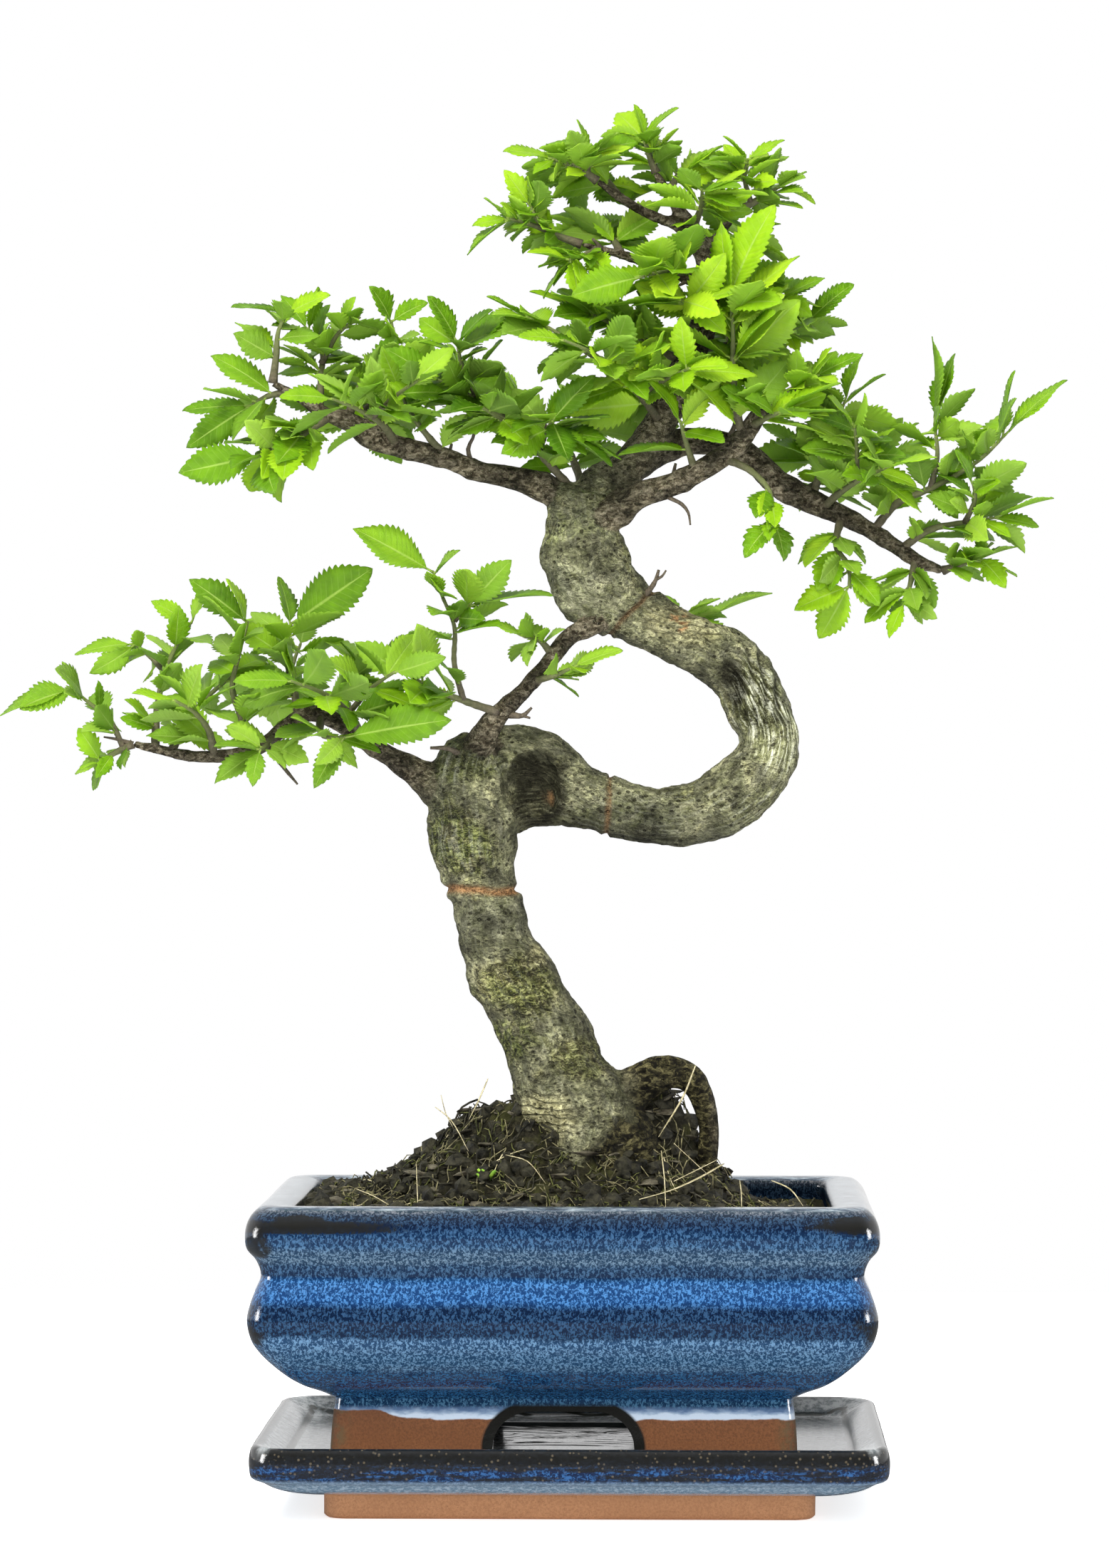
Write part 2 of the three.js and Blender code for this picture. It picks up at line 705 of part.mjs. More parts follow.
function ellipsoid({ x, y, z, radiusX, radiusY, radiusZ }) {
  const levels = 6;
  const around = 10;
  const rings = [];
  for (let level = 0; level <= levels; level++) {
    const lift = (Math.PI * (0.08 + (0.84 * level) / levels)) - Math.PI / 2;
    rings.push(
      Array.from({ length: around }, (_, k) => {
        const angle = (2 * Math.PI * k) / around;
        return [
          x + radiusX * Math.cos(lift) * Math.cos(angle),
          y + radiusY * Math.cos(lift) * Math.sin(angle),
          z + radiusZ * Math.sin(lift),
        ];
      }),
    );
  }
  return skin(rings);
}

const union = (solids) => wasm.Manifold.union(solids);

// The saucer: a plate with a sloping rim on an unglazed foot ring
function makeSaucer() {
  const { footInset } = SAUCER;
  const innerInset = footInset + SAUCER.footWall;
  const profile = [
    [innerInset + 1, 11],
    [innerInset, 10],
    [innerInset, 0],
    [footInset + 1.2, 0],
    [footInset, 1.2],
    [footInset, 8],
    [3.6, 13],
    [0.4, 14.6],
    [0, 22.6],
    [1.2, 24.8],
    [3, 24.7],
    [9.4, 21],
    [12, SAUCER.floorZ],
  ];
  return skin(profileRings(SAUCER, profile)).translate([SAUCER.aside, 0, 0]);
}

// The pot: outside and inside in one closed profile, with feet cut by arches and two drain holes
function makePot() {
  const z = (height) => height + FIT;
  const profile = [
    [POT.footInset + POT.footWall + 1, z(POT.baseZ - 1)],
    [POT.footInset + POT.footWall, z(POT.baseZ - 2)],
    [POT.footInset + POT.footWall - 1, POT_Z],
    [POT.footInset - 0.5, POT_Z],
    [POT.footInset + 1, z(37.4)],
    [22.9, z(39.7)],
    [17.7, z(42.1)],
    [13.4, z(45)],
    [8.7, z(49)],
    [4.8, z(53.1)],
    [2, z(57.4)],
    [0.6, z(64)],
    [3.2, z(73.3)],
    [5, z(78)],
    [3.5, z(82.8)],
    [0.7, z(86.3)],
    [0, z(90)],
    [1.8, z(94)],
    [7.2, z(99.2)],
    [12, z(POT.rimZ)],
    [POT.mouthInset, z(97.5)],
    [13.5, z(86)],
    [12.5, z(68)],
    [15, z(56)],
    [23, z(45)],
    [33, z(POT.floorZ)],
  ];
  let pot = skin(profileRings(POT, profile));
  const archTop = POT_Z + ARCH.height;
  const arch = [
    [-ARCH.bottom, POT_Z - 5],
    [ARCH.bottom, POT_Z - 5],
    [ARCH.bottom, POT_Z + 1],
    [ARCH.bottom - 3, archTop - 5],
    [ARCH.top, archTop - 1],
    [ARCH.top - 4, archTop],
    [-ARCH.top + 4, archTop],
    [-ARCH.top, archTop - 1],
    [-ARCH.bottom + 3, archTop - 5],
    [-ARCH.bottom, POT_Z + 1],
  ];
  pot = pot.subtract(prismAlongY(arch, -POT.halfY, POT.halfY));
  for (const side of [-1, 1]) {
    pot = pot.subtract(cylinder(side * DRAIN.x, 0, DRAIN.radius, POT.baseZ - 6, POT.floorZ + 6));
  }
  return pot;
}

// A plastic drain screen with slots that lies over one of the holes in the pot's floor
function makeScreen(side) {
  const x = side * DRAIN.x;
  const low = POT.floorZ + 2 * FIT;
  const { half, thick, slot, pitch, slots, slotHalf } = SCREEN;
  let plate = box(x - half, x + half, -half, half, low, low + thick);
  for (let i = 0; i < slots; i++) {
    const cx = x + (i - (slots - 1) / 2) * pitch;
    plate = plate.subtract(
      box(cx - slot / 2, cx + slot / 2, -slotHalf, slotHalf, low - 1, low + thick + 1),
    );
  }
  return plate;
}

// Height of the soil at a place in the pot
function soilHeight(x, y) {
  let high = SOIL.edgeZ;
  for (const mound of MOUNDS) {
    const dx = (x - mound.x) / mound.wideX;
    const dy = (y - mound.y) / mound.wideY;
    high += mound.high * Math.exp(-dx * dx - dy * dy);
  }
  const crumbs = Math.sin(x * 0.53 + 1.3 * y) + Math.sin(y * 0.71 - 0.4 * x) + Math.sin(x * 0.31 - y * 0.9);
  return high + SOIL.crumb * crumbs * 0.6;
}

// The soil fills the pot up to its uneven top
function makeSoil(treeHole) {
  const z = (height) => height + FIT;
  const inside = [
    [33 + FIT, z(POT.floorZ + FIT)],
    [23 + 2 * FIT, z(45)],
    [15 + 2 * FIT, z(56)],
    [13.5 + FIT, z(86)],
  ];
  const rings = profileRings(POT, inside);
  const rim = roundedRing(
    POT.halfX - POT.mouthInset - FIT,
    POT.halfY - POT.mouthInset - FIT,
    Math.max(POT.corner - POT.mouthInset * CORNER_LOSS, CORNER_LEAST),
    0,
  );
  for (let ring = 0; ring <= SOIL.rings; ring++) {
    const share = 1 - ring / (SOIL.rings + 1);
    rings.push(rim.map(([x, y]) => [x * share, y * share, soilHeight(x * share, y * share)]));
  }
  let soil = skin(rings).subtract(treeHole);
  const reach = SCREEN.half + FIT;
  for (const side of [-1, 1]) {
    const x = side * DRAIN.x;
    const top = POT.floorZ + 3 * FIT + SCREEN.thick;
    soil = soil.subtract(box(x - reach, x + reach, -reach, reach, POT.floorZ - 2, top));
  }
  return soil;
}

// The stations of every thick part of the tree
function woodRoutes() {
  const routes = [
    { name: "lower_trunk", stations: smoothRoute(LOWER_TRUNK, TRUNK_STEP), sides: TRUNK_SIDES, lumps: 0.035 },
    { name: "upper_trunk", stations: smoothRoute(UPPER_TRUNK, TRUNK_STEP), sides: TRUNK_SIDES, lumps: 0.035 },
    { name: "fold_web", stations: smoothRoute(FOLD_WEB, TRUNK_STEP), sides: TRUNK_SIDES, lumps: 0 },
  ];
  for (const [name, route] of Object.entries(BRANCHES)) {
    routes.push({ name, stations: smoothRoute(route, BRANCH_STEP), sides: BRANCH_SIDES, lumps: 0.03 });
  }
  return routes;
}

// The trunk with its limbs and roots. A larger copy of it cuts the room that its neighbours leave.
function makeTree(routes, extra) {
  const parts = routes.map(({ stations, sides, lumps }) => tube(stations, sides, lumps, extra));
  const hollow = { ...FOLD_HOLLOW };
  for (const key of ["radiusX", "radiusY", "radiusZ"]) hollow[key] -= extra;
  return union(parts).subtract(ellipsoid(hollow));
}

// Shortest distance between two straight pieces, each given by its ends
function segmentDistance(p1, q1, p2, q2) {
  const d1 = sub(q1, p1);
  const d2 = sub(q2, p2);
  const r = sub(p1, p2);
  const a = dot(d1, d1);
  const e = dot(d2, d2);
  const f = dot(d2, r);
  const c = dot(d1, r);
  const b = dot(d1, d2);
  const denominator = a * e - b * b;
  let s = 0;
  if (denominator > 1e-9) s = Math.min(Math.max((b * f - c * e) / denominator, 0), 1);
  let t = (b * s + f) / e;
  if (t < 0) {
    t = 0;
    s = Math.min(Math.max(-c / a, 0), 1);
  } else if (t > 1) {
    t = 1;
    s = Math.min(Math.max((b - c) / a, 0), 1);
  }
  return size(sub(add(p1, d1, s), add(p2, d2, t)));
}

// A point of a leaf: u runs along the midrib, v across from -1 to 1, w is the height over the blade
function leafPoint(leaf, u, v, w = 0) {
  const half = v * leaf.length * LEAF.wide;
  const lift = LEAF.fold * Math.abs(half) - LEAF.arch * leaf.length * u * u + w;
  const p = add(leaf.base, leaf.along, leaf.length * u);
  return add(add(p, leaf.across, half), leaf.normal, lift);
}

// The straight pieces that stand for a leaf when room is tested
function leafLines(leaf) {
  const middle = leafPoint(leaf, 0.6, 0);
  return [
    [leafPoint(leaf, LEAF.stalk, 0), middle],
    [middle, leafPoint(leaf, 1, 0)],
    [leafPoint(leaf, 0.25, -0.65), leafPoint(leaf, 0.75, -0.6)],
    [leafPoint(leaf, 0.25, 0.65), leafPoint(leaf, 0.75, 0.6)],
  ];
}

// True if a leaf keeps clear of the leaves and the wood that are there already
function hasRoom(leaf, spray, twigIndex, leaves, wood) {
  const middle = leafPoint(leaf, LEAF_MIDDLE, 0);
  const lines = leafLines(leaf);
  const reach = leaf.length * LEAF_REACH;
  for (const other of leaves) {
    const apart = other.spray === spray ? LEAF_NEAR : LEAF_APART;
    if (size(sub(middle, other.middle)) > reach + other.reach + apart) continue;
    for (const [a, b] of lines) {
      for (const [c, d] of other.lines) if (segmentDistance(a, b, c, d) < apart) return false;
    }
  }
  for (const piece of wood) {
    const own = piece.spray === spray;
    if (own && piece.twig === twigIndex) continue;
    const apart = piece.radius + (own ? 0 : WOOD_APART);
    if (size(sub(middle, piece.middle)) > reach + piece.reach + apart) continue;
    for (const [a, b] of lines) if (segmentDistance(a, b, piece.a, piece.b) < apart) return false;
  }
  return true;
}

// A leaf from its base, its direction and the way its upper face looks
function makeLeaf(base, along, facing, length) {
  const normal = unit(add(facing, along, -dot(facing, along)));
  return { base, along, normal, across: cross(along, normal), length };
}

// The place and direction at a share of a route's length
function alongRoute(route, share) {
  const lengths = [];
  let total = 0;
  for (let i = 0; i + 1 < route.length; i++) {
    lengths.push(size(sub(route[i + 1], route[i])));
    total += lengths[i];
  }
  let left = share * total;
  let i = 0;
  while (i < lengths.length - 1 && left > lengths[i]) {
    left -= lengths[i];
    i += 1;
  }
  const along = unit(sub(route[i + 1], route[i]));
  return { place: add(route[i], along, left), along };
}

// How far a place lies out of the crown's middle plane, from -1 at the front to 1 at the back
function outwards(place) {
  return Math.max(-1, Math.min(1, place[1] / CROWN.depth - CROWN.forward));
}

// Side leaves stand left and right in turn, half way forward, and look up and out of the crown
function sideLeaf(route, share, turn, length, draw) {
  const { place, along } = alongRoute(route, share);
  const flat = unit(cross(along, [0.05, 0.1, 1]));
  const up = cross(flat, along);
  const spread = ((SIDE.spread + SIDE.spreadMore * draw()) * Math.PI) / 180;
  const roll = ((SIDE.roll + SIDE.rollMore * draw()) * Math.PI) / 180;
  const sideways = add(scale(flat, turn * Math.cos(roll)), up, Math.sin(roll));
  const direction = add(scale(along, Math.cos(spread)), sideways, Math.sin(spread));
  direction[2] -= HANG;
  const facing = [1.3 * (draw() - 0.5), 0.5 * outwards(place) + 1.3 * (draw() - 0.5), 0.8];
  return makeLeaf(place, unit(direction), facing, length * (SIDE.short + SIDE.longer * draw()));
}

// End leaves reach to a tip that is given
function endLeaf(base, tip, draw) {
  const reach = sub(tip, base);
  const facing = [0.9 * (draw() - 0.5), 0.7 * outwards(base), 0.5 + 0.4 * draw()];
  const leaf = makeLeaf(base, unit(reach), facing, size(reach));
  const sag = add(scale(leaf.along, leaf.length), leaf.normal, LEAF.arch * leaf.length);
  return makeLeaf(base, unit(sag), facing, size(reach));
}

// Where the wood is, as straight pieces with a radius
function woodPieces(routes) {
  const pieces = [];
  const addPiece = (a, b, radius, spray, twigIndex) => {
    const middle = mix(a, b, 0.5);
    pieces.push({ a, b, radius, spray, twig: twigIndex, middle, reach: size(sub(b, a)) / 2 });
  };
  for (const { stations } of routes) {
    for (let i = 0; i + 1 < stations.length; i++) {
      addPiece(stations[i], stations[i + 1], Math.max(stations[i][3], stations[i + 1][3]), null, 0);
    }
  }
  for (const [spray, twigs] of Object.entries(SPRAYS)) {
    twigs.forEach(({ route }, index) => {
      for (let i = 0; i + 1 < route.length; i++) {
        addPiece(route[i], route[i + 1], TWIG.later, spray, index);
      }
    });
  }
  return pieces;
}

// All leaves: those at the twigs' ends first, then the ones along them, each where it has room
function placeLeaves(wood) {
  const leaves = [];
  const keep = (leaf, spray, twigIndex) => {
    if (!hasRoom(leaf, spray, twigIndex, leaves, wood)) return false;
    const middle = leafPoint(leaf, LEAF_MIDDLE, 0);
    leaves.push({ leaf, spray, middle, reach: leaf.length * LEAF_REACH, lines: leafLines(leaf) });
    return true;
  };
  const names = Object.keys(SPRAYS);
  names.forEach((spray, sprayIndex) => {
    SPRAYS[spray].forEach(({ route, ends }, twigIndex) => {
      ends.forEach((tip, k) => {
        const draw = draws(7919 * sprayIndex + 613 * twigIndex + 31 * k + 5);
        const base = mix(route.at(-1), route.at(-2), END_STEP * (k + 1));
        let placed = false;
        for (let tries = 0; tries < LEAF_TRIES && !placed; tries++) {
          const swing = tries * TIP_SWING;
          const near = [swing * (draw() - 0.5), swing * (draw() - 0.5), swing * (draw() - 0.5)];
          placed = keep(endLeaf(base, add(tip, near), draw), spray, twigIndex);
        }
      });
    });
  });
  names.forEach((spray, sprayIndex) => {
    SPRAYS[spray].forEach(({ route, leaves: count, size: length }, twigIndex) => {
      for (let i = 0; i < count; i++) {
        const draw = draws(7919 * sprayIndex + 613 * twigIndex + 31 * i + 17);
        const share = SIDE.first + (SIDE.span * (i + 0.5)) / count;
        const turn = i % 2 === 0 ? 1 : -1;
        let placed = false;
        for (let tries = 0; tries < LEAF_TRIES && !placed; tries++) {
          placed = keep(sideLeaf(route, share, turn, length, draw), spray, twigIndex);
        }
      }
    });
  });
  return leaves;
}

// A leaf as a closed solid: a thin folded blade with cut edges, thickest along its midrib
function leafSolid(leaf) {
  const points = [leafPoint(leaf, 0, 0)];
  for (const [u, v] of LEAF_EDGE) points.push(leafPoint(leaf, u, v));
  points.push(leafPoint(leaf, 1, 0));
  for (const [u, v] of [...LEAF_EDGE].reverse()) points.push(leafPoint(leaf, u, -v));
  const edge = points.length;
  const upper = edge;
  const lower = edge + 1;
  points.push(leafPoint(leaf, LEAF_RIDGE, 0, LEAF.thick / 2));
  points.push(leafPoint(leaf, LEAF_RIDGE, 0, -LEAF.thick / 2));
  const triangles = [];
  for (let i = 0; i < edge; i++) {
    const j = (i + 1) % edge;
    triangles.push([i, j, upper], [j, i, lower]);
  }
  return solid(points, triangles);
}

// A spray: its twigs and leaves joined in one solid, cut back from the tree that it grows from
function makeSpray(name, leaves, room) {
  const parts = SPRAYS[name].map(({ route }, index) => {
    const last = route.length - 1;
    const thick = index === 0 ? TWIG.first : TWIG.later;
    return tube(
      route.map((p, i) => [...p, thick + ((TWIG.end - thick) * i) / last]),
      TWIG_SIDES,
    );
  });
  for (const { leaf, spray } of leaves) if (spray === name) parts.push(leafSolid(leaf));
  const pieces = union(parts).subtract(room).decompose();
  pieces.sort((a, b) => b.volume() - a.volume());
  return pieces[0];
}

function geometryOf(manifold) {
  const { numProp, vertProperties, triVerts } = manifold.getMesh();
  const geometry = new THREE.BufferGeometry();
  const positions = new Float32Array((vertProperties.length / numProp) * 3);
  for (let i = 0; i * numProp < vertProperties.length; i++) {
    positions.set(vertProperties.subarray(i * numProp, i * numProp + 3), i * 3);
  }
  geometry.setAttribute("position", new THREE.BufferAttribute(positions, 3));
  geometry.setIndex(new THREE.BufferAttribute(new Uint32Array(triVerts), 1));
  geometry.computeVertexNormals();
  return geometry;
}

const materials = {
  saucer: new THREE.MeshStandardMaterial({ color: 0x17305c, roughness: 0.15, metalness: 0 }),
  pot: new THREE.MeshStandardMaterial({ color: 0x1f4a94, roughness: 0.15, metalness: 0 }),
  soil: new THREE.MeshStandardMaterial({ color: 0x2e2618, roughness: 0.95, metalness: 0 }),
  screen: new THREE.MeshStandardMaterial({ color: 0x1b1b1b, roughness: 0.5, metalness: 0 }),
  bark: new THREE.MeshStandardMaterial({ color: 0x857f68, roughness: 0.85, metalness: 0 }),
  leaf: new THREE.MeshStandardMaterial({ color: 0x6fb52a, roughness: 0.4, metalness: 0 }),
};

const group = new THREE.Group();

function place(name, manifold, material) {
  const mesh = new THREE.Mesh(geometryOf(manifold), material);
  mesh.name = name;
  group.add(mesh);
}

const routes = woodRoutes();
const tree = makeTree(routes, 0);
const room = makeTree(routes, FIT);
place("saucer", makeSaucer(), materials.saucer);
place("pot", makePot(), materials.pot);
place("soil", makeSoil(room), materials.soil);
place("drain_screen_left", makeScreen(-1), materials.screen);
place("drain_screen_right", makeScreen(1), materials.screen);
place("trunk", tree, materials.bark);
const leaves = placeLeaves(woodPieces(routes));
for (const name of Object.keys(SPRAYS)) {
  place("spray_" + name, makeSpray(name, leaves, room), materials.leaf);
}

// The middle of the whole model's box comes over the origin
group.position.x = POT_X;

export default group;
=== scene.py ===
# A Chinese elm bonsai with a looped trunk, in a blue glazed pot on its saucer.
# Lengths are in millimetres from the middle of the pot at the height of the ground: x to the
# right, y away from the front, z up. framed() turns them into metres in the model's frame.
import itertools
import json
import math

import bpy
import numpy as np
from mathutils import Matrix, Vector, noise
from mathutils.kdtree import KDTree

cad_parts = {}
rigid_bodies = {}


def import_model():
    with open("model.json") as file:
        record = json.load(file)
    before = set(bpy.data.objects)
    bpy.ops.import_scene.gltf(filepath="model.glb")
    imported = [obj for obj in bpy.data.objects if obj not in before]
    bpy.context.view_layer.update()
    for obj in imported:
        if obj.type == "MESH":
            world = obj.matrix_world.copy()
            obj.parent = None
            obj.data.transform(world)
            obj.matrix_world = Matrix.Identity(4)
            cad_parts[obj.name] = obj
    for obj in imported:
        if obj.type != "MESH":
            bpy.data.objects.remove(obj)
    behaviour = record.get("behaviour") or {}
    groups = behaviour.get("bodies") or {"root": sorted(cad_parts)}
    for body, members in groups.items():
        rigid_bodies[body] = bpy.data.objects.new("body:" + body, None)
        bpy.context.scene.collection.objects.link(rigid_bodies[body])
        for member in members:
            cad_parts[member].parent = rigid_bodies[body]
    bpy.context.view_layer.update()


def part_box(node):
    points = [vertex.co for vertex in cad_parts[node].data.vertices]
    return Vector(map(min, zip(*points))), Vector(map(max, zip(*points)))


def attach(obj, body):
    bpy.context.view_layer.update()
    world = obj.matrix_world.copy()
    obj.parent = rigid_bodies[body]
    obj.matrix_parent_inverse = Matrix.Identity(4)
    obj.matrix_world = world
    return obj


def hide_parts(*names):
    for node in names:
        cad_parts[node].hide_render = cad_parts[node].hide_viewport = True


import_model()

MM = 0.001
pot_low, pot_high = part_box("pot")
MIDDLE = np.array([(pot_low.x + pot_high.x) / 2, (pot_low.y + pot_high.y) / 2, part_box("saucer")[0].z])

# Camera: level, 1.7 m in front, a little to the right
SENSOR = 36
CAMERA = {"distance": 1722, "azimuth": 1.5, "x": -4.1, "z": 233.1, "lens": 121.0}

# Pot and saucer. FIT is the gap between what stands and what carries it
FIT = 0.3
SAUCER = {"half_x": 101, "half_y": 75, "corner": 14, "foot_inset": 23, "foot_wall": 6}
SAUCER.update({"floor_z": 19, "aside": 2})
POT = {"half_x": 100, "half_y": 75, "corner": 11, "foot_inset": 26, "foot_wall": 6, "base_z": 35}
POT.update({"floor_z": 41, "rim_z": 100, "mouth_inset": 15.2})
POT_Z = SAUCER["floor_z"] + FIT
ARCH = {"bottom": 22.5, "flat": 10, "height": 14.5, "straight": 3}
DRAIN = {"x": 45, "radius": 7}
# Corners get smaller by this share of the inset, down to the least radius
CORNER_LOSS = 0.45
CORNER_LEAST = 5

# Soil, and the mounds that rise from its edge
SOIL = {"edge_z": 96.5, "crumb": 1.1, "rings": 72, "sunk": 6}
MOUNDS = [
    {"x": -6, "y": 3, "wide_x": 44, "wide_y": 29, "high": 33},
    {"x": 32, "y": 6, "wide_x": 14, "wide_y": 13, "high": 21},
    {"x": -33, "y": 2, "wide_x": 7, "wide_y": 8, "high": 5},
]

# Wood: each route is a list of [x, y, z, radius]
LOWER_TRUNK = [
    [8, 0, 88, 25], [8, 0, 104, 24], [7, 0, 114, 22.5], [3.5, 0, 126.8, 19.6], [-2.3, 0, 137.5, 15.8],
    [-5.9, 0, 148.1, 14.8], [-11.4, 0, 159.5, 12.9], [-17.2, 0, 169.3, 13.5], [-22.4, 0, 179.1, 12.4],
    [-24.5, 0, 188.9, 12], [-27.2, 0, 197.9, 10.6], [-29, 0, 203.6, 11.4], [-30.5, 0, 210.9, 13.4],
    [-31, 0, 221.5, 14.3], [-32, 0, 232, 14], [-31, 1, 240.5, 12], [-28, 2, 247, 7.5],
]
# The web that closes the bend below the fold
FOLD_WEB = [
    [-28, 3, 222, 9], [-17, 6, 227.5, 9.5], [-6, 6, 229, 9.5], [5, 3, 228, 9],
]
UPPER_TRUNK = [
    [-30, 2, 235, 11], [-20, 4, 241, 11], [-9, 4, 238, 11.6], [3.8, 2, 229.9, 10.9],
    [13.6, 0, 226.2, 9.4], [26.3, -2, 222.9, 9.3], [41.6, -4, 223.6, 9.9], [55.3, -4, 230.6, 11.4],
    [64, -3, 240, 10.4], [65.6, -2, 249.2, 9.8], [61.7, 0, 259.9, 10], [54.7, 1, 271.1, 10],
    [34.7, 1, 282, 9.2], [22.5, 0, 288.8, 9.9], [9.2, 0, 298.6, 14], [5.2, 0, 310.4, 13.6],
    [4.3, 0, 320.2, 10.8], [4.6, 0, 328, 9.6],
]
BRANCHES = {
    "leader": [
        [4, 0, 318, 9], [11, 2, 329, 7.4], [22, 4, 339, 6.4], [31, 4, 352, 5.5], [38, 3, 368, 5],
        [45, 2, 384, 4.6], [47, 0, 396, 4.4], [45, -1, 405, 3.6], [40, -2, 415, 3], [36, -2, 421, 2.3],
    ],
    "upper_left": [
        [4, 0, 324, 6], [-8, -2, 330, 4.4], [-18, -4, 333, 3.8], [-29, -7, 335, 3.6],
        [-39, -9, 339, 3.6], [-56, -12, 343, 3.5], [-64, -13, 346.5, 4.4], [-70, -14, 350.5, 3],
        [-78, -15, 353, 2.4], [-86, -16, 358, 2], [-95, -17, 363, 1.5],
    ],
    "right_rise": [
        [5, -3, 316, 7], [15, -6, 321, 5], [24, -9, 327, 4.4], [34, -11, 330, 4], [44, -13, 335, 3.7],
        [52, -14, 340, 3.5], [58, -15, 346, 3.3], [62, -15, 352, 2.9], [67, -15, 357, 1.8],
    ],
    "right_droop": [
        [22, 4, 338, 5.4], [36, 10, 345, 4.7], [50, 13, 345, 4.5], [60, 14, 341, 4.4],
        [69, 13, 332, 4.5], [80, 12, 326, 4.2], [91, 11, 321, 3.4], [100, 10, 316, 3],
        [109, 9, 310, 2.7], [116, 8, 305.5, 2.3], [123, 7, 303, 1.5],
    ],
    "lower_left": [
        [-31, 0, 226, 9], [-43, -3, 233, 6.4], [-51, -5, 238, 4.4], [-58, -7, 242.5, 3.5],
        [-67, -9, 248, 3], [-76, -11, 254, 2.9], [-84, -12, 256, 2.8], [-92, -13, 251, 2.6],
        [-98, -14, 246, 2.4], [-105, -15, 243, 2.3], [-120, -17, 242, 2], [-135, -19, 245, 1.6],
        [-140, -20, 246, 1.3],
    ],
    "drooping": [
        [16, -2, 291, 5], [9, -7, 285, 3.4], [1, -10, 281, 3], [-6, -12, 272, 2.8], [-14, -14, 263, 2.8],
        [-20, -15, 257.5, 3.2], [-25, -12, 251.5, 4], [-29, -6, 245, 5],
    ],
    "crown_left": [
        [40, -2, 413, 2.6], [34, -3, 416, 2], [26, -5, 419, 1.8], [17, -8, 424, 1.7],
        [10, -10, 429, 1.4],
    ],
    "crown_centre": [
        [37, -2, 419, 2], [33, 0, 426, 1.6], [29, 3, 433, 1.3],
    ],
    "crown_right": [
        [45, -1, 405, 2.2], [50, 0, 413, 1.6], [57, 2, 421, 1.2],
    ],
    "crown_low": [
        [47, 0, 395, 2.4], [32, -6, 400, 1.7], [18, -10, 405, 1.5], [5, -13, 408, 1.2],
    ],
    "root_arch": [
        [10, -2, 120, 9], [19, -3, 131, 7.4], [27, -4, 137, 6.4], [34, -4, 139.4, 5.6],
        [40, -4, 137.5, 4.8], [44, -4, 131.5, 4], [46.2, -4, 121, 3.4], [45.5, -4, 108, 3.2],
        [44, -3, 94, 2.8],
    ],
    "root_right": [
        [12, -6, 112, 9], [26, -14, 108, 5], [36, -18, 99, 3],
    ],
}

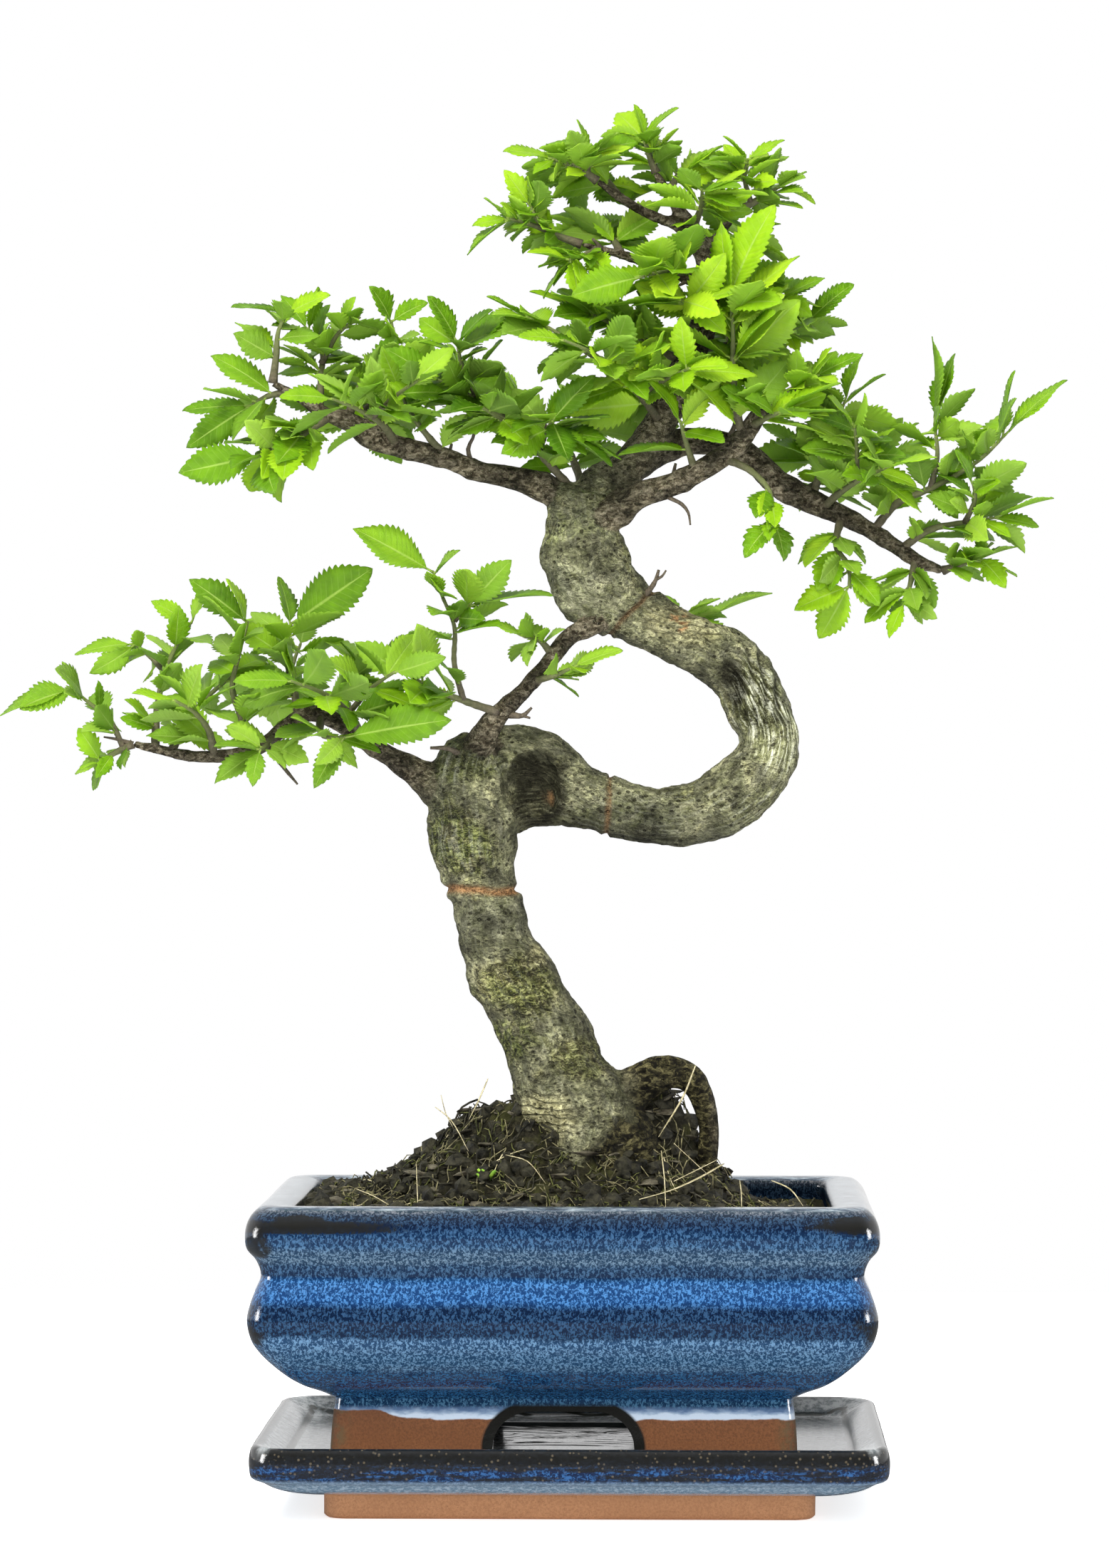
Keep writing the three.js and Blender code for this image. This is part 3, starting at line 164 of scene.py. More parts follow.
# Each spray is one leafy shoot with the twigs that grow from it. Each row is one twig: its spray,
# its route, its number of side leaves, their length, and the tips of its end leaves
TWIGS = [
    ("crown_top", [[29, 3, 433], [26, 2, 441], [25, 1, 445]], 2, 18, [[22, 0, 455], [36, -6, 453]]),
    ("crown_left_end", [[10, -10, 429], [4, -12, 433], [-5, -13, 436]],
     1, 19, [[-20, -16, 439], [-10, -22, 430]]),
    ("crown_left_end", [[7, -11, 431], [7, -9, 438]], 1, 18, [[4, -10, 449], [14, -14, 446]]),
    ("crown_left_back", [[17, -8, 424], [12, 4, 431], [4, 14, 434], [-2, 22, 435]],
     3, 20, [[-10, 34, 434]]),
    ("crown_centre_back", [[33, 0, 426], [36, 12, 433], [38, 22, 437]], 2, 20, [[40, 36, 440]]),
    ("crown_right_end", [[57, 2, 421], [64, 4, 425], [70, 5, 429]], 1, 17, [[81, 2, 423], [78, 10, 434]]),
    ("crown_right_end", [[60, 3, 423], [58, 0, 431], [59, -2, 437]], 1, 17, [[71, -6, 442], [52, -8, 444]]),
    ("crown_low_end", [[5, -13, 408], [-7, -15, 413], [-12, -16, 421]],
     2, 16, [[-20, -20, 431], [-10, -18, 434]]),
    ("crown_low_end", [[-5, -15, 412], [-14, -17, 415], [-19, -18, 416]],
     1, 15, [[-30, -20, 413], [-28, -24, 405]]),
    ("crown_low_front", [[11, -11.5, 406.5], [6, -18, 404], [1, -23, 402]],
     1, 17, [[-12, -27, 405], [4, -26, 390]]),
    ("crown_low_back", [[18, -10, 405], [15, 2, 411], [11, 14, 415], [8, 24, 417]], 4, 20, [[-2, 36, 416]]),
    ("crown_front", [[46, 0, 399], [38, -12, 399], [30, -21, 398], [24, -27, 396]], 2, 24, [[3, -34, 388]]),
    ("crown_mid_front", [[41, -2, 414], [44, -12, 421], [44, -20, 425]],
     2, 21, [[36, -33, 430], [57, -29, 425]]),
    ("crown_mid_back", [[44, -1, 407], [50, 12, 411], [54, 24, 414], [57, 34, 415]],
     4, 21, [[62, 49, 413]]),
    ("crown_right_low", [[46.5, 0, 391], [57, -2, 394], [66, -5, 393], [70, -7, 391]],
     2, 19, [[79, -12, 384], [84, -9, 397]]),
    ("shoot", [[57, -15, 345], [55, -19, 356], [54, -20, 368], [54, -20, 380], [53, -21, 391]],
     4, 27, [[68, -25, 419], [50, -22, 414]]),
    ("mid_left", [[2, -1, 329], [-8, -8, 340], [-16, -14, 349], [-28, -20, 357], [-42, -24, 364]],
     2, 23, [[-58, -30, 372]]),
    ("mid_left", [[-28, -20, 357], [-33, -23, 367], [-35, -26, 376]],
     2, 21, [[-44, -30, 390], [-24, -32, 386]]),
    ("mid_left", [[-16, -14, 349], [-21, -26, 351], [-27, -36, 354]], 2, 23, [[-36, -50, 352]]),
    ("mid_left", [[-9, -9, 341], [-6, -22, 347], [-4, -32, 350]], 2, 23, [[2, -44, 336], [-12, -47, 350]]),
    ("mid_back", [[6, 2, 328], [0, 16, 343], [-8, 30, 352], [-20, 42, 361], [-34, 50, 367]],
     3, 23, [[-50, 56, 370]]),
    ("mid_back", [[-6, 27, 350], [-20, 26, 361], [-32, 27, 368], [-42, 26, 374]], 3, 21, [[-56, 28, 380]]),
    ("mid_back", [[0, 16, 343], [10, 28, 353], [18, 38, 361], [24, 48, 367]], 3, 23, [[32, 60, 372]]),
    ("mid_front", [[31, 3, 351], [24, -13, 359], [16, -29, 366], [8, -43, 371], [0, -50, 374]],
     3, 24, [[-14, -58, 374]]),
    ("mid_front", [[18, -25, 364], [7, -26, 372], [-4, -28, 379], [-12, -28, 383]],
     2, 23, [[-28, -30, 388]]),
    ("mid_front", [[24, -13, 359], [32, -27, 363], [40, -37, 366]],
     2, 23, [[52, -48, 366], [38, -50, 378]]),
    ("mid_right_back", [[35, 4, 361], [46, 18, 370], [58, 32, 377], [70, 43, 382]], 2, 23, [[86, 52, 386]]),
    ("mid_right_back", [[52, 25, 373], [53, 27, 384], [51, 28, 392]],
     2, 21, [[46, 31, 407], [62, 34, 404]]),
    ("mid_right_back", [[46, 18, 370], [40, 32, 376], [36, 43, 380]], 2, 21, [[28, 57, 384]]),
    ("leader_left", [[39, 3, 370], [27, -1, 377], [15, -5, 383], [5, -7, 387]], 4, 23, [[-12, -9, 393]]),
    ("leader_front", [[44, 2, 382], [41, -12, 387], [37, -24, 389]],
     2, 25, [[30, -44, 387], [48, -41, 383]]),
    ("leader_right", [[41, 3, 375], [54, 5, 377], [68, 5, 380], [79, 3, 384]], 3, 20, [[94, -2, 395]]),
    ("rise_tip", [[67, -15, 357], [74, -16, 361], [81, -17, 365]], 2, 20, [[96, -19, 371], [88, -29, 362]]),
    ("rise_front", [[60, -15, 349], [65, -26, 351], [69, -35, 352]], 2, 21, [[78, -50, 350]]),
    ("rise_droop", [[50, -14, 339], [60, -19, 334], [66, -21, 327], [67, -22, 317]],
     1, 16, [[57, -25, 307], [71, -27, 305]]),
    ("rise_left", [[42, -12.5, 334], [39, -20, 343], [37, -25, 350]], 2, 20, [[28, -35, 362]]),
    ("droop_up", [[80, 12, 326], [84, 11, 339], [88, 10, 350], [91, 9, 359]],
     4, 20, [[96, 6, 374], [104, 12, 368]]),
    ("droop_high", [[100, 10, 316], [108, 8, 325], [117, 6, 329], [127, 5, 334], [136, 3, 340],
      [143, 2, 347]], 3, 21, [[162, -2, 365], [145, 4, 368]]),
    ("droop_high", [[119, 6, 330], [121, 4, 341], [120, 4, 351]], 1, 20, [[119, 2, 379], [125, 6, 373]]),
    ("droop_side", [[109, 9, 310], [118, 5, 316], [126, 3, 318], [134, 1, 319], [140, 0, 320]],
     2, 19, [[158, -3, 327], [154, 2, 317]]),
    ("droop_side", [[130, 2, 318.5], [133, -3, 326], [132, -6, 331]], 1, 18, [[126, -12, 341]]),
    ("droop_end", [[123, 7, 303], [129, 4, 305], [135, 2, 307]], 1, 18, [[142, -5, 297], [147, 6, 311]]),
    ("droop_hanging", [[114, 8, 307], [112, 4, 298], [110, 2, 292]],
     1, 18, [[105, -1, 281], [116, 4, 285]]),
    ("droop_low", [[90, 11, 321.5], [88, 5, 311], [92, 1, 304], [92, -1, 297]],
     2, 19, [[75, -5, 289], [82, 4, 281]]),
    ("droop_back", [[76, 12.5, 328], [86, 27, 335], [97, 39, 340], [106, 45, 343]],
     3, 21, [[121, 52, 344]]),
    ("droop_back", [[86, 27, 335], [83, 38, 341], [79, 46, 345]], 2, 21, [[72, 60, 348]]),
    ("droop_front", [[84, 11.5, 324], [89, -3, 328], [96, -17, 332], [104, -28, 335]],
     3, 21, [[119, -36, 338]]),
    ("droop_front", [[94, -13, 331], [94, -19, 341], [93, -22, 349]],
     2, 20, [[84, -30, 358], [100, -34, 358]]),
    ("left_tip", [[-95, -17, 363], [-94, -17, 371], [-93, -18, 380], [-90, -18, 386]],
     2, 18, [[-108, -22, 388], [-76, -22, 391]]),
    ("left_far", [[-90, -16.5, 360], [-97, -13, 359], [-103, -11, 356]],
     1, 24, [[-125, -8, 355], [-122, -15, 341]]),
    ("left_low", [[-76, -14.7, 352.5], [-84, -19, 347], [-92, -22, 342], [-99, -24, 339]],
     3, 21, [[-124, -27, 332], [-107, -38, 334]]),
    ("left_loop", [[-71, -14, 351], [-67, -12, 362], [-58, -11, 368], [-56, -10, 376], [-57, -9, 384]],
     2, 17, [[-45, -12, 389], [-64, -16, 394]]),
    ("left_riser", [[-80, -15.3, 354], [-80, -8, 365], [-80, -5, 374], [-85, -3, 382]],
     2, 19, [[-94, 2, 393], [-80, -8, 395]]),
    ("left_riser", [[-80, -7, 370], [-74, -9, 380], [-67, -10, 385]], 1, 18, [[-60, -20, 392]]),
    ("left_back", [[-62, -12.7, 345], [-66, 4, 352], [-72, 18, 358], [-80, 30, 362]],
     3, 23, [[-92, 42, 362]]),
    ("left_back", [[-69, 11, 355], [-60, 20, 363], [-52, 28, 369]], 2, 21, [[-40, 38, 374]]),
    ("left_front", [[-55, -12, 343], [-59, -25, 349], [-66, -36, 353], [-74, -44, 356]],
     3, 23, [[-90, -54, 356]]),
    ("left_front", [[-62, -30, 351], [-53, -38, 358], [-46, -44, 362]], 2, 21, [[-36, -54, 364]]),
    ("left_inner", [[-38, -9, 338.7], [-44, -13, 345], [-50, -16, 353], [-54, -18, 361]],
     2, 20, [[-60, -22, 374]]),
    ("low_end", [[-140, -20, 246], [-146, -21, 243], [-151, -22, 240]],
     1, 15, [[-157, -24, 238], [-158, -20, 251]]),
    ("low_end", [[-143, -20.5, 244.5], [-148, -19, 254], [-154, -19, 259], [-160, -20, 264]],
     2, 18, [[-184, -23, 257], [-172, -28, 252]]),
    ("low_high", [[-133, -18.7, 244.5], [-133, -14, 256], [-131, -12, 268], [-127, -10, 278],
      [-122, -9, 286]], 3, 18, [[-116, -12, 297], [-136, -8, 292]]),
    ("low_high", [[-130.5, -12, 269.5], [-136, -10, 275], [-141, -9, 279]],
     1, 17, [[-160, -10, 276], [-152, -16, 270]]),
    ("low_rear", [[-128, -18, 243.5], [-123, -9, 254], [-117, -3, 262], [-108, 4, 270]],
     3, 20, [[-96, 12, 280]]),
    ("low_fore", [[-114, -16.2, 242.4], [-115, -24, 250], [-119, -31, 256], [-125, -37, 260]],
     2, 20, [[-138, -44, 262]]),
    ("low_mid", [[-103, -14.7, 243.7], [-105, -17, 254], [-108, -18, 264], [-106, -17, 275],
      [-103, -16, 286]], 3, 19, [[-123, -14, 297], [-108, -24, 300]]),
    ("low_inner", [[-87, -12.4, 254], [-89, -9, 265], [-92, -5, 276], [-90, -3, 286]],
     3, 21, [[-62, -6, 301], [-94, 0, 301]]),
    ("low_hanging", [[-80, -11.5, 255], [-79, -22, 250], [-76, -31, 248], [-70, -36, 248]],
     2, 23, [[-37, -40, 254], [-78, -46, 232]]),
    ("low_under", [[-95, -13.5, 248.5], [-97, -23, 245], [-98, -31, 244]],
     1, 18, [[-99, -38, 233], [-112, -39, 246]]),
    ("low_back", [[-73, -10, 252], [-82, 6, 258], [-93, 20, 263], [-104, 32, 266]],
     3, 21, [[-120, 42, 266]]),
    ("low_back", [[-82, 6, 258], [-73, 16, 267], [-64, 25, 274]], 2, 21, [[-50, 34, 280]]),
    ("low_back", [[-93, 20, 263], [-92, 30, 273], [-90, 38, 280]], 2, 20, [[-88, 50, 288]]),
    ("low_front", [[-66, -8.8, 247.3], [-70, -22, 256], [-77, -34, 262], [-87, -45, 266]],
     3, 23, [[-104, -54, 266]]),
    ("low_front", [[-70, -22, 256], [-62, -32, 264], [-54, -40, 269]], 2, 23, [[-38, -50, 272]]),
    ("hanging_left", [[-22, -16.3, 256.3], [-33, -20, 260], [-43, -23, 264], [-52, -25, 269]],
     2, 24, [[-68, -28, 277], [-62, -36, 262]]),
    ("hanging_left", [[-33, -20, 260], [-36, -20, 272], [-36, -20, 284], [-40, -20, 294], [-43, -20, 302]],
     2, 21, [[-68, -22, 316], [-34, -25, 309]]),
    ("hanging_left", [[-36, -20, 286], [-31, -19, 291]], 0, 18, [[-17, -21, 305], [-5, -17, 296]]),
    ("hanging_right", [[-4, -11.5, 274.5], [-9, -14, 280], [-14, -15, 281]],
     1, 15, [[-23, -18, 285], [-13, -21, 288]]),
    ("hanging_low", [[-11, -13, 266.5], [-4, -20, 268], [3, -23, 271]], 1, 16, [[18, -25, 277]]),
    ("loop_shoot", [[36, 2, 281.5], [38, 12, 288], [44, 15, 287]], 1, 15, [[67, 18, 297]]),
]
SPRAYS = {}
for spray_name, *one_twig in TWIGS:
    SPRAYS.setdefault(spray_name, []).append(dict(zip(("route", "leaves", "size", "ends"), one_twig)))

# Bare twigs and stubs: [x, y, z] points and the radii at both ends
BARE = [
    ([[30, -10, 328], [33.7, -12, 325.8], [37.5, -12.5, 323.8], [39.6, -13, 321.1], [40.3, -13.5, 317]],
     0.9, 0.3),
    ([[24, -3, 293], [27.5, -5, 297], [29, -6, 299.5], [30, -6.5, 302.8]], 1.3, 0.45),
    ([[29, -6, 299.5], [31, -6.5, 300.6], [32.4, -7, 302.6]], 0.5, 0.3),
    ([[-96, -14, 245], [-92, -15, 239], [-87, -16, 233]], 1.1, 0.35),
    ([[-140, -20, 246], [-145, -20.5, 247.5], [-149.5, -21, 248.3]], 0.8, 0.3),
    ([[-18, -15.5, 255.5], [-14, -17, 255.2], [-11, -17.5, 257.8]], 1.2, 0.4),
    ([[-14, -17, 255.2], [-11.5, -17.5, 254.4]], 0.6, 0.35),
    ([[-31, -6, 240], [-38, -12, 244.5], [-44, -14, 244.8]], 1.3, 0.5),
    ([[52, 12, 345], [55, 9, 352], [53, 8, 358], [55, 7, 363]], 1, 0.35),
    ([[-30, -7, 335.5], [-32, -9, 342], [-30, -10, 347], [-32, -11, 351]], 0.9, 0.35),
]

# Leaves
LEAF = {"wide": 0.27, "arch": 0.14, "fold": 0.28, "stalk": 0.16}
LEAF_MIDDLE = 0.55
LEAF_REACH = 0.62
SIDE = {"first": 0.3, "span": 0.66, "spread": 42, "spread_more": 34, "roll": -35, "roll_more": 90}
SIDE.update({"short": 0.82, "longer": 0.36, "sway": 1.3, "out": 0.5, "up": 0.8})
END = {"sway": 0.9, "out": 0.7, "up": 0.5, "up_more": 0.4}
HANG = 0.12
CROWN = {"depth": 22, "forward": 0.35}
TIP_SWING = 0.9
END_STEP = 0.06
LEAF_TRIES = 14
LEAF_APART = 2.1
LEAF_NEAR = 1
WOOD_APART = 1
TWIG_RADIUS = 1.25
TWIG_SIDES = 7
TWIG_STEP = 1.6
KNOT_SWELL = 0.16
NO_SPRAY = -1
TRUNK_STEP = 11
BRANCH_STEP = 18


def framed(points):
    """Points in millimetres from the pot's middle, as points of the model's frame in metres."""
    return np.asarray(points, float) * MM + MIDDLE


def unit(vector):
    return vector / max(math.sqrt(float(vector @ vector)), 1e-9)


def add_object(name, mesh):
    made = bpy.data.objects.new(name, mesh)
    bpy.context.scene.collection.objects.link(made)
    return made


def new_object(name, points, faces):
    """A smooth-shaded object from points in millimetres and faces."""
    mesh = bpy.data.meshes.new(name)
    mesh.from_pydata(framed(points).tolist(), [], faces)
    mesh.shade_smooth()
    return add_object(name, mesh)


def joined(parts):
    """Points and faces of several meshes as one."""
    points = []
    faces = []
    start = 0
    for part_points, part_faces in parts:
        points.append(np.asarray(part_points, float))
        faces += [tuple(i + start for i in face) for face in part_faces]
        start += len(part_points)
    return np.concatenate(points), faces


def applied(thing):
    """Bakes an object's modifiers into its mesh."""
    graph = bpy.context.evaluated_depsgraph_get()
    mesh = bpy.data.meshes.new_from_object(thing.evaluated_get(graph))
    mesh.name = thing.name
    old = thing.data
    thing.modifiers.clear()
    thing.data = mesh
    bpy.data.meshes.remove(old)
    return thing


def vertex_array(mesh):
    """A mesh's vertices in millimetres from the pot's middle."""
    flat = np.empty(len(mesh.vertices) * 3)
    mesh.vertices.foreach_get("co", flat)
    return (flat.reshape(-1, 3) - MIDDLE) / MM


def set_vertices(mesh, points):
    mesh.vertices.foreach_set("co", framed(points).ravel())
    mesh.update()


def vertex_normals(mesh):
    flat = np.empty(len(mesh.vertices) * 3)
    mesh.vertex_normals.foreach_get("vector", flat)
    return flat.reshape(-1, 3)


def set_value(mesh, name, values):
    """Keeps one number for each vertex, for the material to read."""
    kept = mesh.attributes.new(name, "FLOAT", "POINT")
    kept.data.foreach_set("value", np.asarray(values, np.float32))


def add_modifier(thing, kind, **settings):
    modifier = thing.modifiers.new(kind.lower(), kind)
    for name, value in settings.items():
        setattr(modifier, name, value)


def dress(thing, materials, node=None):
    """Gives a piece its materials, its body and the node whose place it takes."""
    thing.data.materials.clear()
    for material in materials:
        thing.data.materials.append(material)
    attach(thing, "root")
    if node:
        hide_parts(node)
    return thing


def ease(low, high, x):
    """0 below low, 1 above high, smooth between."""
    t = np.clip((x - low) / (high - low), 0, 1)
    return t * t * (3 - 2 * t)


def lumps(points, scale, octaves=3, seed=0.0):
    """Fractal noise of about -1 to 1 at each point, with features about scale wide."""
    shift = Vector((seed, seed * 1.7, seed * 0.3))
    return np.array([noise.fractal(Vector(p) / scale + shift, 0.9, 2.1, octaves) for p in points.tolist()])


DRAW_STEP = 1664525
DRAW_SHIFT = 1013904223
DRAW_RANGE = 2**32
# Each kind of thing draws from a seed of its own: steps for each number, and a start
SPRAY_SEED = 7919
TWIG_SEED = 613
END_SEED = (31, 5)
SIDE_SEED = (31, 17)
EXTRA_SEED = (101, 29)
BLADE_SEED = (977, 61, 3)
STUB_SEED = (71, 5557)
STRAW_SEED = 4242


def draws(seed):
    """A seeded source of even draws between 0 and 1."""
    state = seed % DRAW_RANGE

    def draw():
        nonlocal state
        state = (state * DRAW_STEP + DRAW_SHIFT) % DRAW_RANGE
        return state / DRAW_RANGE

    return draw


def twig_draws(spray, twig_index, kind, number):
    step, start = kind
    return draws(SPRAY_SEED * spray + TWIG_SEED * twig_index + step * number + start)


def smooth_route(route, step):
    """Stations [x, y, z, radius] along a centripetal curve through a route, about a step apart."""
    points = np.array([p[:3] for p in route], float)
    padded = np.vstack([2 * points[0] - points[1], points, 2 * points[-1] - points[-2]])
    stations = []
    for i in range(len(route) - 1):
        a, b, c, d = padded[i : i + 4]
        spans = [float(np.sum((q - p) ** 2)) ** 0.25 for p, q in ((a, b), (b, c), (c, d))]
        start = (b - a) / spans[0] - (c - a) / (spans[0] + spans[1]) + (c - b) / spans[1]
        end = (c - b) / spans[1] - (d - b) / (spans[1] + spans[2]) + (d - c) / spans[2]
        start = start * spans[1]
        end = end * spans[1]
        parts = max(1, math.floor(np.linalg.norm(c - b) / step + 0.5))
        steps = parts + 1 if i == len(route) - 2 else parts
        bend = 3 * (c - b) - 2 * start - end
        turn = 2 * (b - c) + start + end
        for k in range(steps):
            t = k / parts
            place = b + start * t + bend * t**2 + turn * t**3
            eased = t * t * (3 - 2 * t)
            stations.append([*place, route[i][3] * (1 - eased) + route[i + 1][3] * eased])
    return np.array(stations)


def frames_along(centres):
    """For each station of a line: its direction and two sides, turned as little as can be."""
    along = np.gradient(centres, axis=0)
    along /= np.linalg.norm(along, axis=1)[:, None]
    sides = []
    side = np.array([1.0, 0, 0]) if abs(along[0][2]) > 0.8 else np.array([0, 0, 1.0])
    for direction in along:
        side = unit(side - direction * (side @ direction))
        sides.append(side)
    sides = np.array(sides)
    return along, sides, np.cross(along, sides)


def tube(stations, sides, wave=None):
    """A closed tube round stations [x, y, z, radius]. wave(i, angles) swells its rings."""
    stations = np.asarray(stations, float)
    centres = stations[:, :3]
    _, right, up = frames_along(centres)
    angles = np.arange(sides) * 2 * math.pi / sides
    rings = []
    for i, centre in enumerate(centres):
        radius = stations[i, 3] * (1 + (wave(i, angles) if wave else 0 * angles))
        outward = np.outer(np.cos(angles), right[i]) + np.outer(np.sin(angles), up[i])
        rings.append(centre + radius[:, None] * outward)
    return skin(rings)


def skin(rings):
    """Closed rings of equally many points, skinned one to the next, with a fan at each end."""
    count = len(rings[0])
    points = np.concatenate([*rings, [np.mean(rings[0], axis=0)], [np.mean(rings[-1], axis=0)]])
    faces = []
    for level in range(len(rings) - 1):
        low = level * count
        for i in range(count):
            j = (i + 1) % count
            faces.append((low + i, low + j, low + count + j, low + count + i))
    last = (len(rings) - 1) * count
    first_middle = len(points) - 2
    for i in range(count):
        j = (i + 1) % count
        faces.append((first_middle, j, i))
        faces.append((first_middle + 1, last + i, last + j))
    return points, faces


# Where the wood is, and where leaves find room


def segment_distances(p1, q1, p2, q2):
    """Shortest distances between straight pieces, each given by its ends."""
    d1 = q1 - p1
    d2 = q2 - p2
    r = p1 - p2
    a = (d1 * d1).sum(-1)
    e = (d2 * d2).sum(-1)
    f = (d2 * r).sum(-1)
    c = (d1 * r).sum(-1)
    b = (d1 * d2).sum(-1)
    denominator = a * e - b * b
    safe = np.where(denominator > 1e-9, denominator, 1)
    s = np.where(denominator > 1e-9, np.clip((b * f - c * e) / safe, 0, 1), 0)
    t = (b * s + f) / e
    s = np.where(t < 0, np.clip(-c / a, 0, 1), np.where(t > 1, np.clip((b - c) / a, 0, 1), s))
    t = np.clip(t, 0, 1)
    return np.linalg.norm(p1 + d1 * s[..., None] - p2 - d2 * t[..., None], axis=-1)


def make_leaf(base, along, facing, length):
    """A leaf from its base, its direction and the way its upper face looks."""
    normal = unit(facing - along * (facing @ along))
    across = np.cross(along, normal)
    return {"base": base, "along": along, "normal": normal, "across": across, "length": length}


def leaf_point(leaf, u, v):
    half = v * leaf["length"] * LEAF["wide"]
    lift = LEAF["fold"] * abs(half) - LEAF["arch"] * leaf["length"] * u * u
    return leaf["base"] + leaf["along"] * leaf["length"] * u + leaf["across"] * half + leaf["normal"] * lift


def leaf_lines(leaf):
    """The straight pieces that stand for a leaf when room is tested, as starts and ends."""
    middle = leaf_point(leaf, 0.6, 0)
    starts = [leaf_point(leaf, LEAF["stalk"], 0), middle]
    ends = [middle, leaf_point(leaf, 1, 0)]
    for side in (-0.65, 0.65):
        starts.append(leaf_point(leaf, 0.25, side))
        ends.append(leaf_point(leaf, 0.75, side * 0.6 / 0.65))
    return np.array(starts), np.array(ends)


def outwards(place):
    return max(-1, min(1, place[1] / CROWN["depth"] - CROWN["forward"]))


def along_route(route, share):
    """The place and the direction at a share of a route's length."""
    points = np.array([p[:3] for p in route], float)
    lengths = np.linalg.norm(np.diff(points, axis=0), axis=1)
    left = share * lengths.sum()
    i = 0
    while i < len(lengths) - 1 and left > lengths[i]:
        left -= lengths[i]
        i += 1
    along = unit(points[i + 1] - points[i])
    return points[i] + along * left, along


def side_leaf(route, share, turn, length, draw):
    """Side leaves stand left and right in turn, half way forward, and look up and out."""
    place, along = along_route(route, share)
    flat = unit(np.cross(along, [0.05, 0.1, 1]))
    up = np.cross(flat, along)
    spread = math.radians(SIDE["spread"] + SIDE["spread_more"] * draw())
    roll = math.radians(SIDE["roll"] + SIDE["roll_more"] * draw())
    sideways = flat * turn * math.cos(roll) + up * math.sin(roll)
    direction = along * math.cos(spread) + sideways * math.sin(spread)
    direction[2] -= HANG
    first = SIDE["sway"] * (draw() - 0.5)
    second = SIDE["out"] * outwards(place) + SIDE["sway"] * (draw() - 0.5)
    facing = np.array([first, second, SIDE["up"]])
    return make_leaf(place, unit(direction), facing, length * (SIDE["short"] + SIDE["longer"] * draw()))


def end_leaf(base, tip, draw):
    """End leaves reach to a tip that is given."""
    reach = tip - base
    length = float(np.linalg.norm(reach))
    first = END["sway"] * (draw() - 0.5)
    facing = np.array([first, END["out"] * outwards(base), END["up"] + END["up_more"] * draw()])
    leaf = make_leaf(base, unit(reach), facing, length)
    sag = leaf["along"] * length + leaf["normal"] * LEAF["arch"] * length
    return make_leaf(base, unit(sag), facing, length)


def all_twigs():
    """Each twig after the name and number of its spray and its own number."""
    for spray, (name, twigs) in enumerate(SPRAYS.items()):
        for twig_index, one in enumerate(twigs):
            yield name, spray, twig_index, one


class Foliage:
    """The leaves that have a place, and the wood that they keep clear of."""

    def __init__(self, stations_of_wood):
        rows = []
        for stations in stations_of_wood:
            for a, b in zip(stations[:-1], stations[1:]):
                rows.append([*a[:3], *b[:3], max(a[3], b[3]), NO_SPRAY, 0])
        for _, spray, twig_index, one in all_twigs():
            for a, b in zip(one["route"][:-1], one["route"][1:]):
                rows.append([*a, *b, TWIG_RADIUS, spray, twig_index])
        rows = np.array(rows, float)
        self.start = rows[:, :3]
        self.end = rows[:, 3:6]
        self.radius, self.owner, self.twig = rows[:, 6:].T
        self.middle = (self.start + self.end) / 2
        self.reach = np.linalg.norm(self.end - self.start, axis=1) / 2
        self.leaves = []
        self.middles = np.empty((0, 3))
        self.reaches = np.empty(0)
        self.sprays = np.empty(0, int)
        self.line_starts = np.empty((0, 4, 3))
        self.line_ends = np.empty((0, 4, 3))

    def has_room(self, leaf, spray, twig_index, ease_off):
        middle = leaf_point(leaf, LEAF_MIDDLE, 0)
        starts, ends = leaf_lines(leaf)
        reach = leaf["length"] * LEAF_REACH
        if len(self.leaves):
            apart = np.where(self.sprays == spray, LEAF_NEAR, LEAF_APART) * ease_off
            near = np.linalg.norm(self.middles - middle, axis=1) <= reach + self.reaches + apart
            if near.any():
                ours = (starts[:, None, None], ends[:, None, None])
                gaps = segment_distances(*ours, self.line_starts[near], self.line_ends[near])
                if (gaps < apart[near][None, :, None]).any():
                    return False
        own = self.owner == spray
        apart = self.radius + np.where(own, 0, WOOD_APART)
        near = np.linalg.norm(self.middle - middle, axis=1) <= reach + self.reach + apart
        near &= ~(own & (self.twig == twig_index))
        if near.any():
            gaps = segment_distances(starts[:, None], ends[:, None], self.start[near], self.end[near])
            if (gaps < apart[near]).any():
                return False
        return True

    def keep(self, leaf, spray, twig_index, ease_off=1.0):
        """Keeps a leaf if it has room, and says whether it did."""
        if not self.has_room(leaf, spray, twig_index, ease_off):
            return False
        starts, ends = leaf_lines(leaf)
        self.leaves.append({**leaf, "spray": spray})
        self.middles = np.vstack([self.middles, leaf_point(leaf, LEAF_MIDDLE, 0)])
        self.reaches = np.append(self.reaches, leaf["length"] * LEAF_REACH)
        self.sprays = np.append(self.sprays, spray)
        self.line_starts = np.concatenate([self.line_starts, starts[None]])
        self.line_ends = np.concatenate([self.line_ends, ends[None]])
        return True


def wood_routes():
    """The coarse stations that the room of the leaves is measured from."""
    coarse = [smooth_route(route, TRUNK_STEP) for route in (LOWER_TRUNK, UPPER_TRUNK, FOLD_WEB)]
    return coarse + [smooth_route(route, BRANCH_STEP) for route in BRANCHES.values()]


